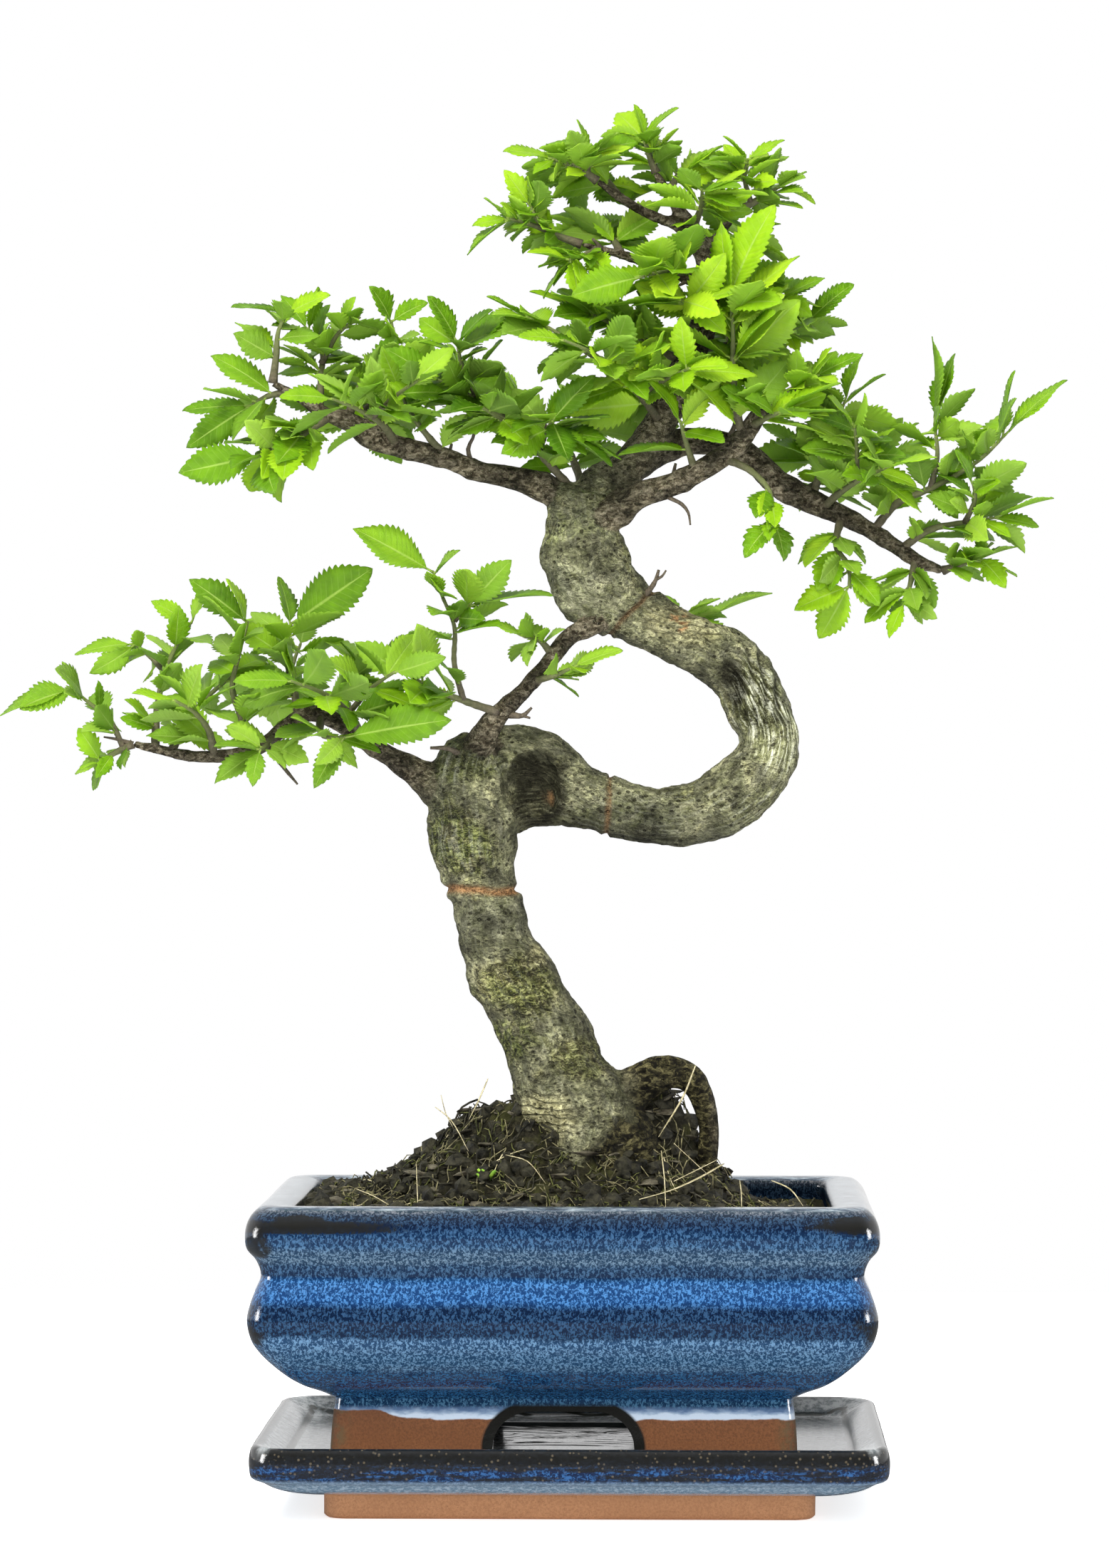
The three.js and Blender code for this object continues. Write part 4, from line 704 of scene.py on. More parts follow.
def place_leaves(foliage):
    """All leaves: those at the twigs' ends first, then the ones along them, where they have room."""
    for _, spray, twig_index, one in all_twigs():
        last = np.array(one["route"][-1], float)
        before = np.array(one["route"][-2], float)
        for k, tip in enumerate(one["ends"]):
            draw = twig_draws(spray, twig_index, END_SEED, k)
            share = END_STEP * (k + 1)
            base = last * (1 - share) + before * share
            for attempt in range(LEAF_TRIES):
                swing = attempt * TIP_SWING
                near = np.array([swing * (draw() - 0.5) for _ in range(3)])
                if foliage.keep(end_leaf(base, np.array(tip) + near, draw), spray, twig_index):
                    break
    for _, spray, twig_index, one in all_twigs():
        for i in range(one["leaves"]):
            draw = twig_draws(spray, twig_index, SIDE_SEED, i)
            share = SIDE["first"] + SIDE["span"] * (i + 0.5) / one["leaves"]
            turn = 1 if i % 2 == 0 else -1
            for _ in range(LEAF_TRIES):
                leaf = side_leaf(one["route"], share, turn, one["size"], draw)
                if foliage.keep(leaf, spray, twig_index):
                    break


# Leaves as thin blades with cut edges, raised between their side veins

BLADE_COLUMNS = np.array([-1, -0.5, 0, 0.5, 1])
BLADE = {"start": 0.08, "thick": 0.34, "thin": 0.6, "tooth": 0.21, "blunt": 0.006, "lead": 0.15}
BLADE.update({"quilt": 0.008, "rib": 0.3, "wide": 0.195, "wider": 0.11, "roll": 1.4})
BLADE.update({"bow": 0.1, "twist": 0.5, "ripple": 0.022, "first": 0.03, "span": 0.94})
TEETH = ((15, 6), (19, 8), (24, 10), (28, 12), (99, 14))  # leaves shorter than this, teeth a side
LOWER_SIDE = 100  # added to a leaf's rows on its lower side
STALK = 5  # stands for the column on a leaf's stalk
STALK_RADII = [0.55, 0.42, 0.38, 0.22]
STALK_SIDES = 5


def blade_width(u):
    """Half the width of a blade, as a share of its most, at a share of its length."""
    return np.sin(math.pi * np.clip(u, 0, 1) ** 0.98) ** 0.86


def with_tips(grid, first, last):
    """A grid's values in a row, with one for the blade's base before and one for its tip after."""
    return np.concatenate([[first], grid.ravel(), [last]])


def blade_pattern(teeth):
    """The points and faces that all blades with that many teeth a side have in common."""
    middle, edge, reach, vein = [], [], [], []
    cut_in = BLADE["tooth"] - BLADE["blunt"] * teeth
    for tooth in range(teeth):
        for part, (at, share) in enumerate(((0, 1 - cut_in), (0.55, 1), (0.94, 1 + cut_in / 2))):
            even = BLADE["first"] + BLADE["span"] * (tooth + part / 3) / teeth
            middle.append(even - BLADE["lead"] * math.sin(math.pi * even))
            edge.append(BLADE["first"] + BLADE["span"] * (tooth + at) / teeth)
            reach.append(share)
            vein.append(part == 2)
    middle, edge, reach = (np.array(values)[:, None] for values in (middle, edge, reach))
    far = np.abs(BLADE_COLUMNS)
    along = middle + (edge - middle) * far
    across = blade_width(edge) * BLADE_COLUMNS * (1 + (reach - 1) * far**3)
    puff = np.where(np.array(vein)[:, None], -1, 0.6) * 4 * far * (1 - far) * np.sin(math.pi * edge)
    rows, columns = along.shape
    count = rows * columns + 2
    faces = []
    for side, turned in ((0, False), (count, True)):
        cells = (side + 1 + np.arange(rows * columns)).reshape(rows, columns).tolist()
        last = side + count - 1
        quads = [(side, b, a) for a, b in zip(cells[0][:-1], cells[0][1:])]
        for row, after in zip(cells[:-1], cells[1:]):
            quads += [(row[c], row[c + 1], after[c + 1], after[c]) for c in range(columns - 1)]
        quads += [(last, a, b) for a, b in zip(cells[-1][:-1], cells[-1][1:])]
        faces += [quad[::-1] if turned else quad for quad in quads]
    for column, turned in ((0, False), (columns - 1, True)):
        rim = [0] + [1 + r * columns + column for r in range(rows)] + [count - 1]
        for a, b in zip(rim[:-1], rim[1:]):
            quad = (a, b, b + count, a + count)
            faces.append(quad[::-1] if turned else quad)
    row_number = np.concatenate([[0], np.repeat(np.arange(rows) / 3, columns), [teeth]])
    column_number = np.concatenate([[0], np.tile(BLADE_COLUMNS, rows), [0]])
    return {
        "u": with_tips(along, 0, 1),
        "half": with_tips(across, 0, 0),
        "puff": with_tips(puff, 0, 0),
        "far": with_tips(np.broadcast_to(far, along.shape), 0, 0),
        "row": row_number,
        "column": column_number,
        "faces": faces,
    }


BLADES = {teeth: blade_pattern(teeth) for _, teeth in TEETH}
# Where the leaves are lighter or darker: centre, radii, how much. This is partly young leaves and tone, and
# partly painted light: the front of the crown's middle, which the leaves round it shade, is painted lighter
LEAF_PAINTED_LIGHT_AND_TONE = [
    ((45, -30, 375), (60, 60, 60), 0.6),
    ((-20, -20, 362), (42, 60, 34), -0.6),
    ((24, -10, 435), (80, 70, 50), 0.3),
    ((-95, -10, 262), (80, 70, 40), -0.15),
]


def blade_mesh(leaf, draw):
    """One leaf: points, faces, and for each point its row, its column, its shade and paleness."""
    length = leaf["length"]
    pattern = BLADES[next(teeth for longest, teeth in TEETH if length < longest)]
    wide = BLADE["wide"] + BLADE["wider"] * draw()
    roll = BLADE["roll"] * (draw() - 0.5)
    normal = leaf["normal"] * math.cos(roll) + leaf["across"] * math.sin(roll)
    sideways = np.cross(leaf["along"], normal)
    arch = LEAF["arch"] * (0.6 + 0.8 * draw())
    fold = LEAF["fold"] * (0.5 + 0.9 * draw())
    bow = BLADE["bow"] * (draw() - 0.5)
    twist = BLADE["twist"] * (draw() - 0.5)
    phase = 2 * math.pi * draw()
    u = BLADE["start"] + (1 - BLADE["start"]) * pattern["u"]
    far = pattern["far"]
    half = pattern["half"] * length * wide
    lift = fold * np.abs(half) * (1 - 0.3 * u) - arch * length * u**2
    lift += BLADE["quilt"] * length * pattern["puff"]
    lift += BLADE["ripple"] * length * np.sin(phase + 9 * u + np.sign(half)) * far**2
    lift += half * np.tan(twist * u)
    across = half + bow * length * u * (1 - u) * 2
    upper = leaf["base"] + np.outer(length * u, leaf["along"]) + np.outer(across, sideways)
    upper += np.outer(lift, normal)
    thick = BLADE["thick"] * (1 - BLADE["thin"] * far) + BLADE["rib"] * (far < 0.01) * (1 - 0.7 * u)
    lower = upper - thick[:, None] * normal
    stalk_end = (upper[0] + lower[0]) / 2 + leaf["along"] * 0.05 * length
    stalk_points = np.linspace(0, 1, 4)[:, None] * (stalk_end - leaf["base"]) + leaf["base"]
    stalk = tube(np.column_stack([stalk_points, STALK_RADII]), STALK_SIDES)
    points, faces = joined([(np.vstack([upper, lower]), pattern["faces"]), stalk])
    stalk_count = len(stalk[0])
    rows = np.concatenate([pattern["row"], pattern["row"] + LOWER_SIDE, np.zeros(stalk_count)])
    columns = np.concatenate([pattern["column"], pattern["column"], np.full(stalk_count, STALK)])
    shade = draw()
    # Painted light and tone by place, added to the leaf's tone value
    for centre, radii, lighter in LEAF_PAINTED_LIGHT_AND_TONE:
        shade += lighter * float(in_egg(leaf["base"][None], centre, radii)[0])
    pale = max(0, draw() * 1.4 - 0.9) * (1.3 if leaf["length"] < 20 else 0.7)
    tones = np.tile([shade, min(pale, 0.9)], (len(points), 1))
    return points, faces, np.column_stack([rows, columns]), tones


def twig_mesh(route, first, last, green=0.0):
    """A thin shoot with knots, and its tones: 0 is brown and 1 green."""
    stations = smooth_route([[*p[:3], 0] for p in route], TWIG_STEP)
    share = np.linspace(0, 1, len(stations))
    stations[:, 3] = (first + (last - first) * share) * (1 + KNOT_SWELL * np.cos(share * 40) ** 6)
    points, faces = tube(stations, TWIG_SIDES)
    tone = np.concatenate([np.repeat(share, TWIG_SIDES), [0, 1]]) * green
    blade_values = np.column_stack([tone, np.full(len(points), STALK)])
    return points, faces, blade_values, np.zeros((len(points), 2))


def leafy_piece(name, twigs, leaves, seed, node):
    """Twigs and leaves in one piece: the first material is on the twigs and the second on the leaves."""
    parts = [(0, one) for one in twigs]
    spray_step, leaf_step, start = BLADE_SEED
    for index, leaf in enumerate(leaves):
        parts.append((1, blade_mesh(leaf, draws(seed * spray_step + index * leaf_step + start))))
    points, faces = joined([part[:2] for _, part in parts])
    piece = new_object(name, points, faces)
    mesh = piece.data
    slots = np.concatenate([[slot] * len(part[1]) for slot, part in parts])
    corner = np.empty(len(mesh.loops), int)
    mesh.loops.foreach_get("vertex_index", corner)
    for layer, column in (("blade", 2), ("tone", 3)):
        values = np.concatenate([part[column] for _, part in parts])
        mesh.uv_layers.new(name=layer).data.foreach_set("uv", values[corner].ravel())
    dress(piece, (twig_bark, leaf_green), node)
    mesh.polygons.foreach_set("material_index", slots)


# Materials

# The mix node's two colours and its result, whose names are shared by its other kinds
MIX_A = 6
MIX_B = 7
MIX_RESULT = 2


class Shader:
    """A material, or the world, whose nodes are made and joined by short calls."""

    def __init__(self, name, kind=bpy.data.materials):
        self.material = kind.new(name)
        self.material.use_nodes = True
        self.tree = self.material.node_tree
        self.tree.nodes.clear()

    def make(self, kind, inputs=None, **settings):
        """A node with its settings and its inputs, each a number, a colour or another node's output."""
        node = self.tree.nodes.new(kind)
        for name, value in settings.items():
            setattr(node, name, value)
        for name, value in (inputs or {}).items():
            socket = node.inputs[name]
            if isinstance(value, bpy.types.NodeSocket):
                self.tree.links.new(value, socket)
            else:
                socket.default_value = (*value, 1) if socket.type == "RGBA" else value
        return node

    def vector(self, operation, a, b):
        return self.make("ShaderNodeVectorMath", {0: a, 1: b}, operation=operation).outputs[0]

    def stretch(self, vector, scale):
        return self.vector("MULTIPLY", vector, scale)

    def place(self):
        """The place in millimetres from the pot's middle."""
        here = self.make("ShaderNodeTexCoord").outputs["Object"]
        return self.stretch(self.vector("SUBTRACT", here, MIDDLE), [1 / MM] * 3)

    def split(self, vector):
        return self.make("ShaderNodeSeparateXYZ", {0: vector}).outputs

    def join(self, x, y):
        return self.make("ShaderNodeCombineXYZ", {"X": x, "Y": y}).outputs[0]

    def value(self, name):
        return self.make("ShaderNodeAttribute", attribute_name=name).outputs["Fac"]

    def uv(self, name):
        return self.split(self.make("ShaderNodeUVMap", uv_map=name).outputs[0])

    def math(self, operation, a, b=0.0, clamp=False):
        return self.make("ShaderNodeMath", {0: a, 1: b}, operation=operation, use_clamp=clamp).outputs[0]

    def plus(self, a, b, clamp=False):
        return self.math("ADD", a, b, clamp)

    def minus(self, a, b):
        return self.math("SUBTRACT", a, b)

    def times(self, a, b):
        return self.math("MULTIPLY", a, b)

    def most(self, a, b):
        return self.math("MAXIMUM", a, b)

    def far(self, a, middle=0.0):
        """How far a value is from a middle, on either side."""
        return self.math("ABSOLUTE", self.minus(a, middle) if middle else a)

    def sway(self, value, noise, amount):
        """The value moved up and down by a noise, by half the amount each way at most."""
        return self.plus(value, self.times(self.minus(noise, 0.5), amount))

    def noise(self, vector, scale, detail=4.0, rough=0.55, distortion=0.0):
        inputs = {"Vector": vector, "Scale": scale, "Detail": detail, "Roughness": rough}
        inputs["Distortion"] = distortion
        return self.make("ShaderNodeTexNoise", inputs).outputs["Fac"]

    def cells(self, vector, scale):
        return self.make("ShaderNodeTexVoronoi", {"Vector": vector, "Scale": scale}).outputs["Distance"]

    def between(self, value, low, high, first=0.0, last=1.0, curve="SMOOTHSTEP"):
        """first below low, last above high, smooth between."""
        inputs = {"Value": value, "From Min": low, "From Max": high, "To Min": first, "To Max": last}
        return self.make("ShaderNodeMapRange", inputs, interpolation_type=curve).outputs["Result"]

    def ramp(self, value, stops, low=0.0, high=1.0):
        """A colour for each value between low and high, from stops of (value, colour)."""
        share = self.math("DIVIDE", self.minus(value, low), high - low)
        node = self.make("ShaderNodeValToRGB", {0: share})
        elements = node.color_ramp.elements
        while len(elements) < len(stops):
            elements.new(0.5)
        for element, (at, colour) in zip(elements, stops):
            element.position = (at - low) / (high - low)
            element.color = (*colour, 1)
        return node.outputs[0]

    def mix(self, factor, a, b, blend="MIX"):
        inputs = {0: factor, MIX_A: a, MIX_B: b}
        made = self.make("ShaderNodeMix", inputs, data_type="RGBA", blend_type=blend)
        return made.outputs[MIX_RESULT]

    def bump(self, height, distance):
        """Relief of that many millimetres."""
        return self.make("ShaderNodeBump", {"Height": height, "Distance": distance * MM}).outputs[0]

    def principled(self, colour, roughness, normal=None, **others):
        """The other keywords are names of inputs, with _ for a space."""
        inputs = {"Base Color": colour, "Roughness": roughness}
        if normal is not None:
            inputs["Normal"] = normal
        inputs.update({name.replace("_", " "): value for name, value in others.items()})
        return self.make("ShaderNodeBsdfPrincipled", inputs).outputs[0]

    def done(self, surface, kind="ShaderNodeOutputMaterial"):
        self.make(kind, {"Surface": surface})
        return self.material


LEAF_DARK = (0.04, 0.115, 0.005)
LEAF_MID = (0.17, 0.36, 0.01)
LEAF_BRIGHT = (0.35, 0.6, 0.014)
LEAF_YELLOW = (0.54, 0.78, 0.03)
LEAF_PALE = (0.46, 0.66, 0.11)
LEAF_VEIN = (0.46, 0.62, 0.13)
LEAF_UNDER = (0.27, 0.44, 0.07)
LEAF_STALK = (0.34, 0.44, 0.1)
LEAF_GLOW = (0.55, 0.8, 0.02)
LEAF_THIN = 0.42  # the share of light that goes through


def leaf_material():
    """Glossy above and paler below, with light midrib and side veins. Light shines through it."""
    s = Shader("leaf_green")
    row, column, _ = s.uv("blade")
    shade, pale, _ = s.uv("tone")
    below = s.math("GREATER_THAN", row, LOWER_SIDE / 2)
    far = s.far(column)
    stalk = s.math("GREATER_THAN", column, STALK - 1)
    to_vein = s.far(s.math("FRACT", row), 2 / 3)
    side_vein = s.times(s.between(to_vein, 0.02, 0.11, 1, 0), s.between(far, 0.6, 0.95, 1, 0))
    midrib = s.between(far, 0.02, 0.09, 1, 0)
    vein = s.most(s.times(side_vein, 0.3), midrib)
    cloud = s.noise(s.place(), 0.22, 3)
    tone = s.plus(s.times(shade, 0.62), s.times(cloud, 0.55))
    green = s.ramp(tone, [(0.1, LEAF_DARK), (0.45, LEAF_MID), (0.8, LEAF_BRIGHT), (1.1, LEAF_YELLOW)], 0, 1.2)
    green = s.mix(pale, green, LEAF_PALE)
    green = s.mix(s.times(s.noise(s.place(), 3.0, 3, 0.7), 0.22), green, LEAF_DARK)
    green = s.mix(s.times(vein, 0.6), green, LEAF_VEIN)
    green = s.mix(s.times(below, 0.42), green, LEAF_UNDER)
    green = s.mix(s.times(stalk, 0.8), green, LEAF_STALK)
    height = s.plus(s.times(vein, -0.6), s.noise(s.place(), 2.6, 3, 0.6))
    normal = s.bump(height, 0.15)
    rough = s.between(below, 0, 1, 0.33, 0.58)
    rough = s.plus(rough, s.times(s.noise(s.place(), 1.4, 2), 0.12))
    face = s.principled(green, rough, normal)
    light = {"Color": s.mix(0.55, green, LEAF_GLOW), "Normal": normal}
    through = s.make("ShaderNodeBsdfTranslucent", light).outputs[0]
    return s.done(s.make("ShaderNodeMixShader", {0: LEAF_THIN, 1: face, 2: through}).outputs[0])


TWIG_BROWN = [(0.3, (0.035, 0.026, 0.017)), (0.7, (0.13, 0.105, 0.07))]
TWIG_GREEN = (0.16, 0.22, 0.05)


def twig_material():
    """Thin shoots: grey-brown bark that turns green towards young ends."""
    s = Shader("twig_bark")
    young, _, _ = s.uv("blade")
    place = s.place()
    colour = s.mix(young, s.ramp(s.noise(place, 0.9, 5, 0.7), TWIG_BROWN), TWIG_GREEN)
    return s.done(s.principled(colour, 0.72, s.bump(s.noise(place, 2.4, 4, 0.7), 0.25)))


BARK_BLACK = (0.024, 0.022, 0.009)
BARK_SPOTS_AND_SHADE = (0.012, 0.011, 0.006)
BARK_SPECK = (0.4, 0.4, 0.26)
BARK_GREY = [(0.38, (0.06, 0.058, 0.03)), (0.49, (0.16, 0.158, 0.096)), (0.6, (0.35, 0.347, 0.245))]
BARK_SCALY = [(0.39, (0.016, 0.014, 0.005)), (0.46, (0.07, 0.062, 0.022))]
BARK_SCALY += [(0.52, (0.17, 0.16, 0.06)), (0.6, (0.42, 0.4, 0.2))]
BARK_GREEN = [(0.4, (0.022, 0.03, 0.005)), (0.49, (0.12, 0.145, 0.03)), (0.6, (0.33, 0.36, 0.11))]
BARK_TAN = [(0.38, (0.13, 0.115, 0.05)), (0.5, (0.3, 0.275, 0.135)), (0.62, (0.47, 0.44, 0.24))]
BARK_STREAK = [(0.38, (0.02, 0.022, 0.008)), (0.47, (0.12, 0.125, 0.055))]
BARK_STREAK += [(0.54, (0.28, 0.285, 0.19)), (0.64, (0.56, 0.57, 0.44))]
BARK_LIMB = [(0.38, (0.026, 0.019, 0.01)), (0.5, (0.095, 0.078, 0.048)), (0.62, (0.22, 0.19, 0.13))]
BARK_ROOT = [(0.4, (0.006, 0.005, 0.003)), (0.5, (0.03, 0.026, 0.011)), (0.62, (0.13, 0.115, 0.05))]
BARK_RUST = [(0.35, (0.12, 0.045, 0.014)), (0.6, (0.42, 0.22, 0.09))]


def bark_material():
    """Old bark: smooth grey, scaly olive patches, fibres along the wood, dark spots with painted shade in
    hollows, grooves, the fold and under the wood, and worn tan places, all made lighter or darker in places,
    partly as painted light.
    """
    s = Shader("trunk_bark")
    place = s.place()
    broad = s.noise(place, 0.07, 3, 0.6, 0.5)
    cloud = s.noise(place, 0.15, 4, 0.6, 1.0)
    grain = s.noise(s.stretch(place, (1, 1, 1.4)), 0.4, 4, 0.62, 0.9)
    fine = s.noise(place, 1.7, 2, 0.55)
    strands = s.join(s.value("around"), s.times(s.value("along"), 0.15))
    streak = s.noise(strands, 0.62, 3, 0.6, 0.5)
    smooth = s.ramp(s.mix(0.25, cloud, grain), BARK_GREY)
    scaly = s.ramp(s.mix(0.3, grain, cloud), BARK_SCALY)
    rough = s.plus(s.value("scaly"), s.times(s.minus(cloud, 0.5), 3.0), True)
    colour = s.mix(rough, smooth, scaly)
    film = s.times(s.value("green"), s.between(s.noise(place, 0.2, 4, 0.65), 0.38, 0.54))
    colour = s.mix(s.times(film, 0.85), colour, s.ramp(grain, BARK_GREEN))
    colour = s.mix(s.times(s.value("tan"), 0.85), colour, s.ramp(grain, BARK_TAN))
    colour = s.mix(s.times(s.value("streaky"), 0.85), colour, s.ramp(streak, BARK_STREAK))
    crack = s.far(s.noise(s.stretch(place, (1, 1, 2.2)), 0.2, 4, 0.6, 1.2), 0.5)
    crack = s.times(s.between(crack, 0.004, 0.024, 1, 0), s.between(rough, 0, 1, 0.3, 1))
    colour = s.mix(s.times(crack, 0.8), colour, BARK_BLACK)
    colour = s.mix(s.value("young"), colour, s.ramp(grain, BARK_LIMB))
    pits = s.between(s.cells(s.stretch(place, (1, 1, 1.4)), 0.34), 0.14, 0.27, 1, 0)
    pits = s.times(pits, s.between(s.noise(place, 0.16, 3), 0.4, 0.5))
    colour = s.mix(s.times(pits, 0.85), colour, BARK_BLACK)
    colour = s.mix(s.between(fine, 0.58, 0.7, 0, 0.3), colour, BARK_SPECK)
    colour = s.mix(s.between(fine, 0.42, 0.3, 0, 0.45), colour, BARK_BLACK)
    colour = s.mix(s.value("root"), colour, s.ramp(grain, BARK_ROOT))
    # The light value makes the bark lighter or darker: partly its own tone, partly painted light and shade
    light = s.times(s.value("light"), s.between(broad, 0.38, 0.62, 0.6, 1.35))
    colour = s.make("ShaderNodeVectorMath", {0: colour, "Scale": light}, operation="SCALE").outputs[0]
    # Dark spots, and painted shade in hollows, grooves, the fold and on undersides
    spots_and_shade = s.times(s.value("dark"), s.between(streak, 0.4, 0.62, 0.97, 0.75))
    colour = s.mix(spots_and_shade, colour, BARK_SPOTS_AND_SHADE)
    colour = s.mix(s.times(s.value("scar"), 0.85), colour, s.ramp(fine, BARK_RUST))
    folds = {"Vector": place, "Scale": 0.13, "Distortion": 9, "Detail": 3, "Detail Scale": 0.6}
    wrinkle = s.make("ShaderNodeTexWave", folds, bands_direction="Z").outputs["Fac"]
    wrinkled = s.times(s.value("tan"), s.between(wrinkle, 0.25, 0, 0, 1))
    colour = s.mix(s.times(wrinkled, 0.6), colour, BARK_BLACK)
    height = s.plus(s.times(grain, s.plus(rough, 0.25)), s.times(fine, 0.2))
    height = s.plus(height, s.times(streak, s.value("streaky")))
    height = s.minus(height, s.times(wrinkled, 0.6))
    height = s.minus(height, s.times(s.most(pits, crack), 0.7))
    return s.done(s.principled(colour, 0.8, s.bump(height, 1.8), Specular_IOR_Level=0.25))


FLECK_DARK = (0.3, 0.42, 0.52)
FLECK_LIGHT = (2.7, 2.1, 1.75)
GLAZE_BLACK = (0.008, 0.008, 0.007)
# The pot's two clay tones are darker than the saucer's: partly painted shade, as the foot stands in the shade
# of the belly
CLAY_LIGHT = (0.2, 0.08, 0.03)
GLAZE_HAZE = (0.006, 0.014, 0.024)
CLAY_DARK = (0.115, 0.043, 0.016)
CLAY_SPECK = (0.12, 0.05, 0.02)
CLAY_STAIN = (0.1, 0.075, 0.035)


def glaze_bands(s, heights, mottle_wide, mottle_tall):
    """A blue glaze with a tone for each height, broken into small light and dark flecks."""
    place = s.place()
    wander = s.noise(s.stretch(place, (1, 1, 0.2)), 0.045, 3)
    height = s.sway(s.split(place)[2], wander, 2.4)
    tone = s.ramp(height, heights, heights[0][0], heights[-1][0])
    upright = s.stretch(place, (1 / mottle_wide, 1 / mottle_wide, 1 / mottle_tall))
    flecks = s.noise(upright, 1.0, 3, 0.55, 0.7)
    dust = s.noise(place, 2.2, 2, 0.6)
    fleck = s.plus(s.times(flecks, 0.75), s.times(dust, 0.25))
    dark = s.mix(1.0, tone, FLECK_DARK, "MULTIPLY")
    light = s.mix(1.0, s.mix(1.0, tone, FLECK_LIGHT, "MULTIPLY"), GLAZE_HAZE, "ADD")
    colour = s.mix(s.between(fleck, 0.46, 0.59), dark, light)
    return place, colour, fleck


def clay_colour(s, place, light, dark):
    """Bare fired clay between two tones, and the grain of its sand."""
    sand = s.noise(place, 1.3, 6, 0.75)
    colour = s.mix(s.between(sand, 0.35, 0.65), dark, light)
    specks = s.between(s.cells(place, 0.9), 0.06, 0.16, 0.6, 0)
    colour = s.mix(specks, colour, CLAY_SPECK)
    return s.mix(s.between(s.noise(place, 0.05, 3), 0.4, 0.65, 0, 0.35), colour, dark), sand


def near_arch(s, across, height):
    """1 on the dark glaze that edges the arch of the foot, 0 from some 4 mm away."""
    side = s.minus(s.far(across), ARCH["flat"])
    side = s.math("DIVIDE", s.most(side, 0.0), ARCH["bottom"] - ARCH["flat"])
    rise = s.minus(height, POT_Z + ARCH["straight"])
    rise = s.math("DIVIDE", s.most(rise, 0.0), ARCH["height"] - ARCH["straight"])
    far = s.math("SQRT", s.plus(s.math("POWER", side, 2.0), s.math("POWER", rise, 2.0)))
    return s.between(far, 1.24, 1.33, 1, 0)


WELL_TONE = (0.5, 0.4, 0.33)
GLAZE_FROST = [(0.35, (0.012, 0.018, 0.03)), (0.5, (0.08, 0.11, 0.15)), (0.65, (0.34, 0.4, 0.44))]
GLAZE_MILK = [(0.38, (0.08, 0.14, 0.26)), (0.5, (0.24, 0.33, 0.46)), (0.62, (0.48, 0.57, 0.68))]
POT_BANDS = [
    (33, (0.016, 0.055, 0.11)),
    (37, (0.014, 0.055, 0.12)),
    (38.5, (0.011, 0.06, 0.155)),
    (42, (0.006, 0.042, 0.12)),
    (47.5, (0.004, 0.034, 0.096)),
    (49.5, (0.03, 0.078, 0.15)),
    (58.5, (0.032, 0.08, 0.157)),
    (60, (0.0045, 0.019, 0.05)),
    (68.5, (0.0045, 0.017, 0.048)),
    (71, (0.013, 0.06, 0.172)),
    (76.5, (0.016, 0.07, 0.19)),
    (78.5, (0.006, 0.022, 0.058)),
    (81.5, (0.012, 0.036, 0.08)),
    (83.5, (0.042, 0.083, 0.135)),
    (86, (0.034, 0.072, 0.125)),
    (88.5, (0.011, 0.038, 0.09)),
    (92.5, (0.008, 0.028, 0.072)),
    (94.5, (0.004, 0.014, 0.04)),
    (97, (0.006, 0.018, 0.042)),
    (98.2, (0.014, 0.026, 0.045)),
    (99, (0.05, 0.065, 0.085)),
]


def pot_material():
    """Blue glaze over the body, near black where it breaks at edges, and bare clay on the foot."""
    s = Shader("pot_glaze")
    place, colour, fleck = glaze_bands(s, POT_BANDS, 0.8, 1.25)
    across, _, height = s.split(place)
    wave = s.minus(s.noise(place, 0.09, 4, 0.6), 0.5)
    worn = s.plus(s.value("edge"), s.times(wave, 1.8))
    colour = s.mix(s.times(s.between(worn, 0.4, 0.75), 0.93), colour, GLAZE_BLACK)
    bare_lip = s.most(s.between(across, -30, -74), s.between(across, 76, 94))
    bare_lip = s.times(bare_lip, s.times(s.between(height, 91, 93.4), s.between(height, 97.4, 94.8)))
    bare_lip = s.sway(bare_lip, fleck, 2.4)
    colour = s.mix(s.times(s.between(bare_lip, 0.45, 0.7), 0.93), colour, GLAZE_BLACK)
    streak = s.noise(s.stretch(place, (0.25, 1, 1)), 0.5, 5, 0.7)
    colour = s.mix(s.value("top"), colour, s.ramp(streak, GLAZE_FROST))
    well = s.mix(1.0, colour, WELL_TONE, "MULTIPLY")
    colour = s.mix(s.value("well"), colour, well)
    line = s.plus(s.between(across, -50, -60, 31.4, 34), s.times(wave, 2.4))
    above = s.minus(height, line)
    cloud = s.times(s.noise(s.stretch(place, (0.4, 1, 1)), 0.4, 4, 0.6), 0.5)
    milky = s.ramp(s.plus(cloud, s.between(height, 31.5, 35.2, 0.44, 0.1)), GLAZE_MILK)
    colour = s.mix(s.between(height, 34.2, 36, 1, 0), colour, milky)
    clay, sand = clay_colour(s, place, CLAY_LIGHT, CLAY_DARK)
    stain = s.most(s.between(across, -66, -72), s.between(across, 66, 72))
    stain = s.times(stain, s.between(s.noise(place, 0.3, 4, 0.7), 0.4, 0.6))
    clay = s.mix(s.times(stain, 0.75), clay, CLAY_STAIN)
    bare = s.times(s.between(above, -0.3, 0.3, 1, 0), s.value("foot"))
    colour = s.mix(bare, colour, clay)
    arch = s.times(near_arch(s, across, height), s.value("foot"))
    colour = s.mix(arch, colour, GLAZE_BLACK)
    bare = s.times(bare, s.minus(1.0, arch))
    rough = s.between(bare, 0, 1, 0.06, 0.85)
    relief = s.mix(bare, s.times(fleck, 0.12), s.times(sand, 0.6))
    return s.done(s.principled(colour, rough, s.bump(relief, 0.5), IOR=1.5))


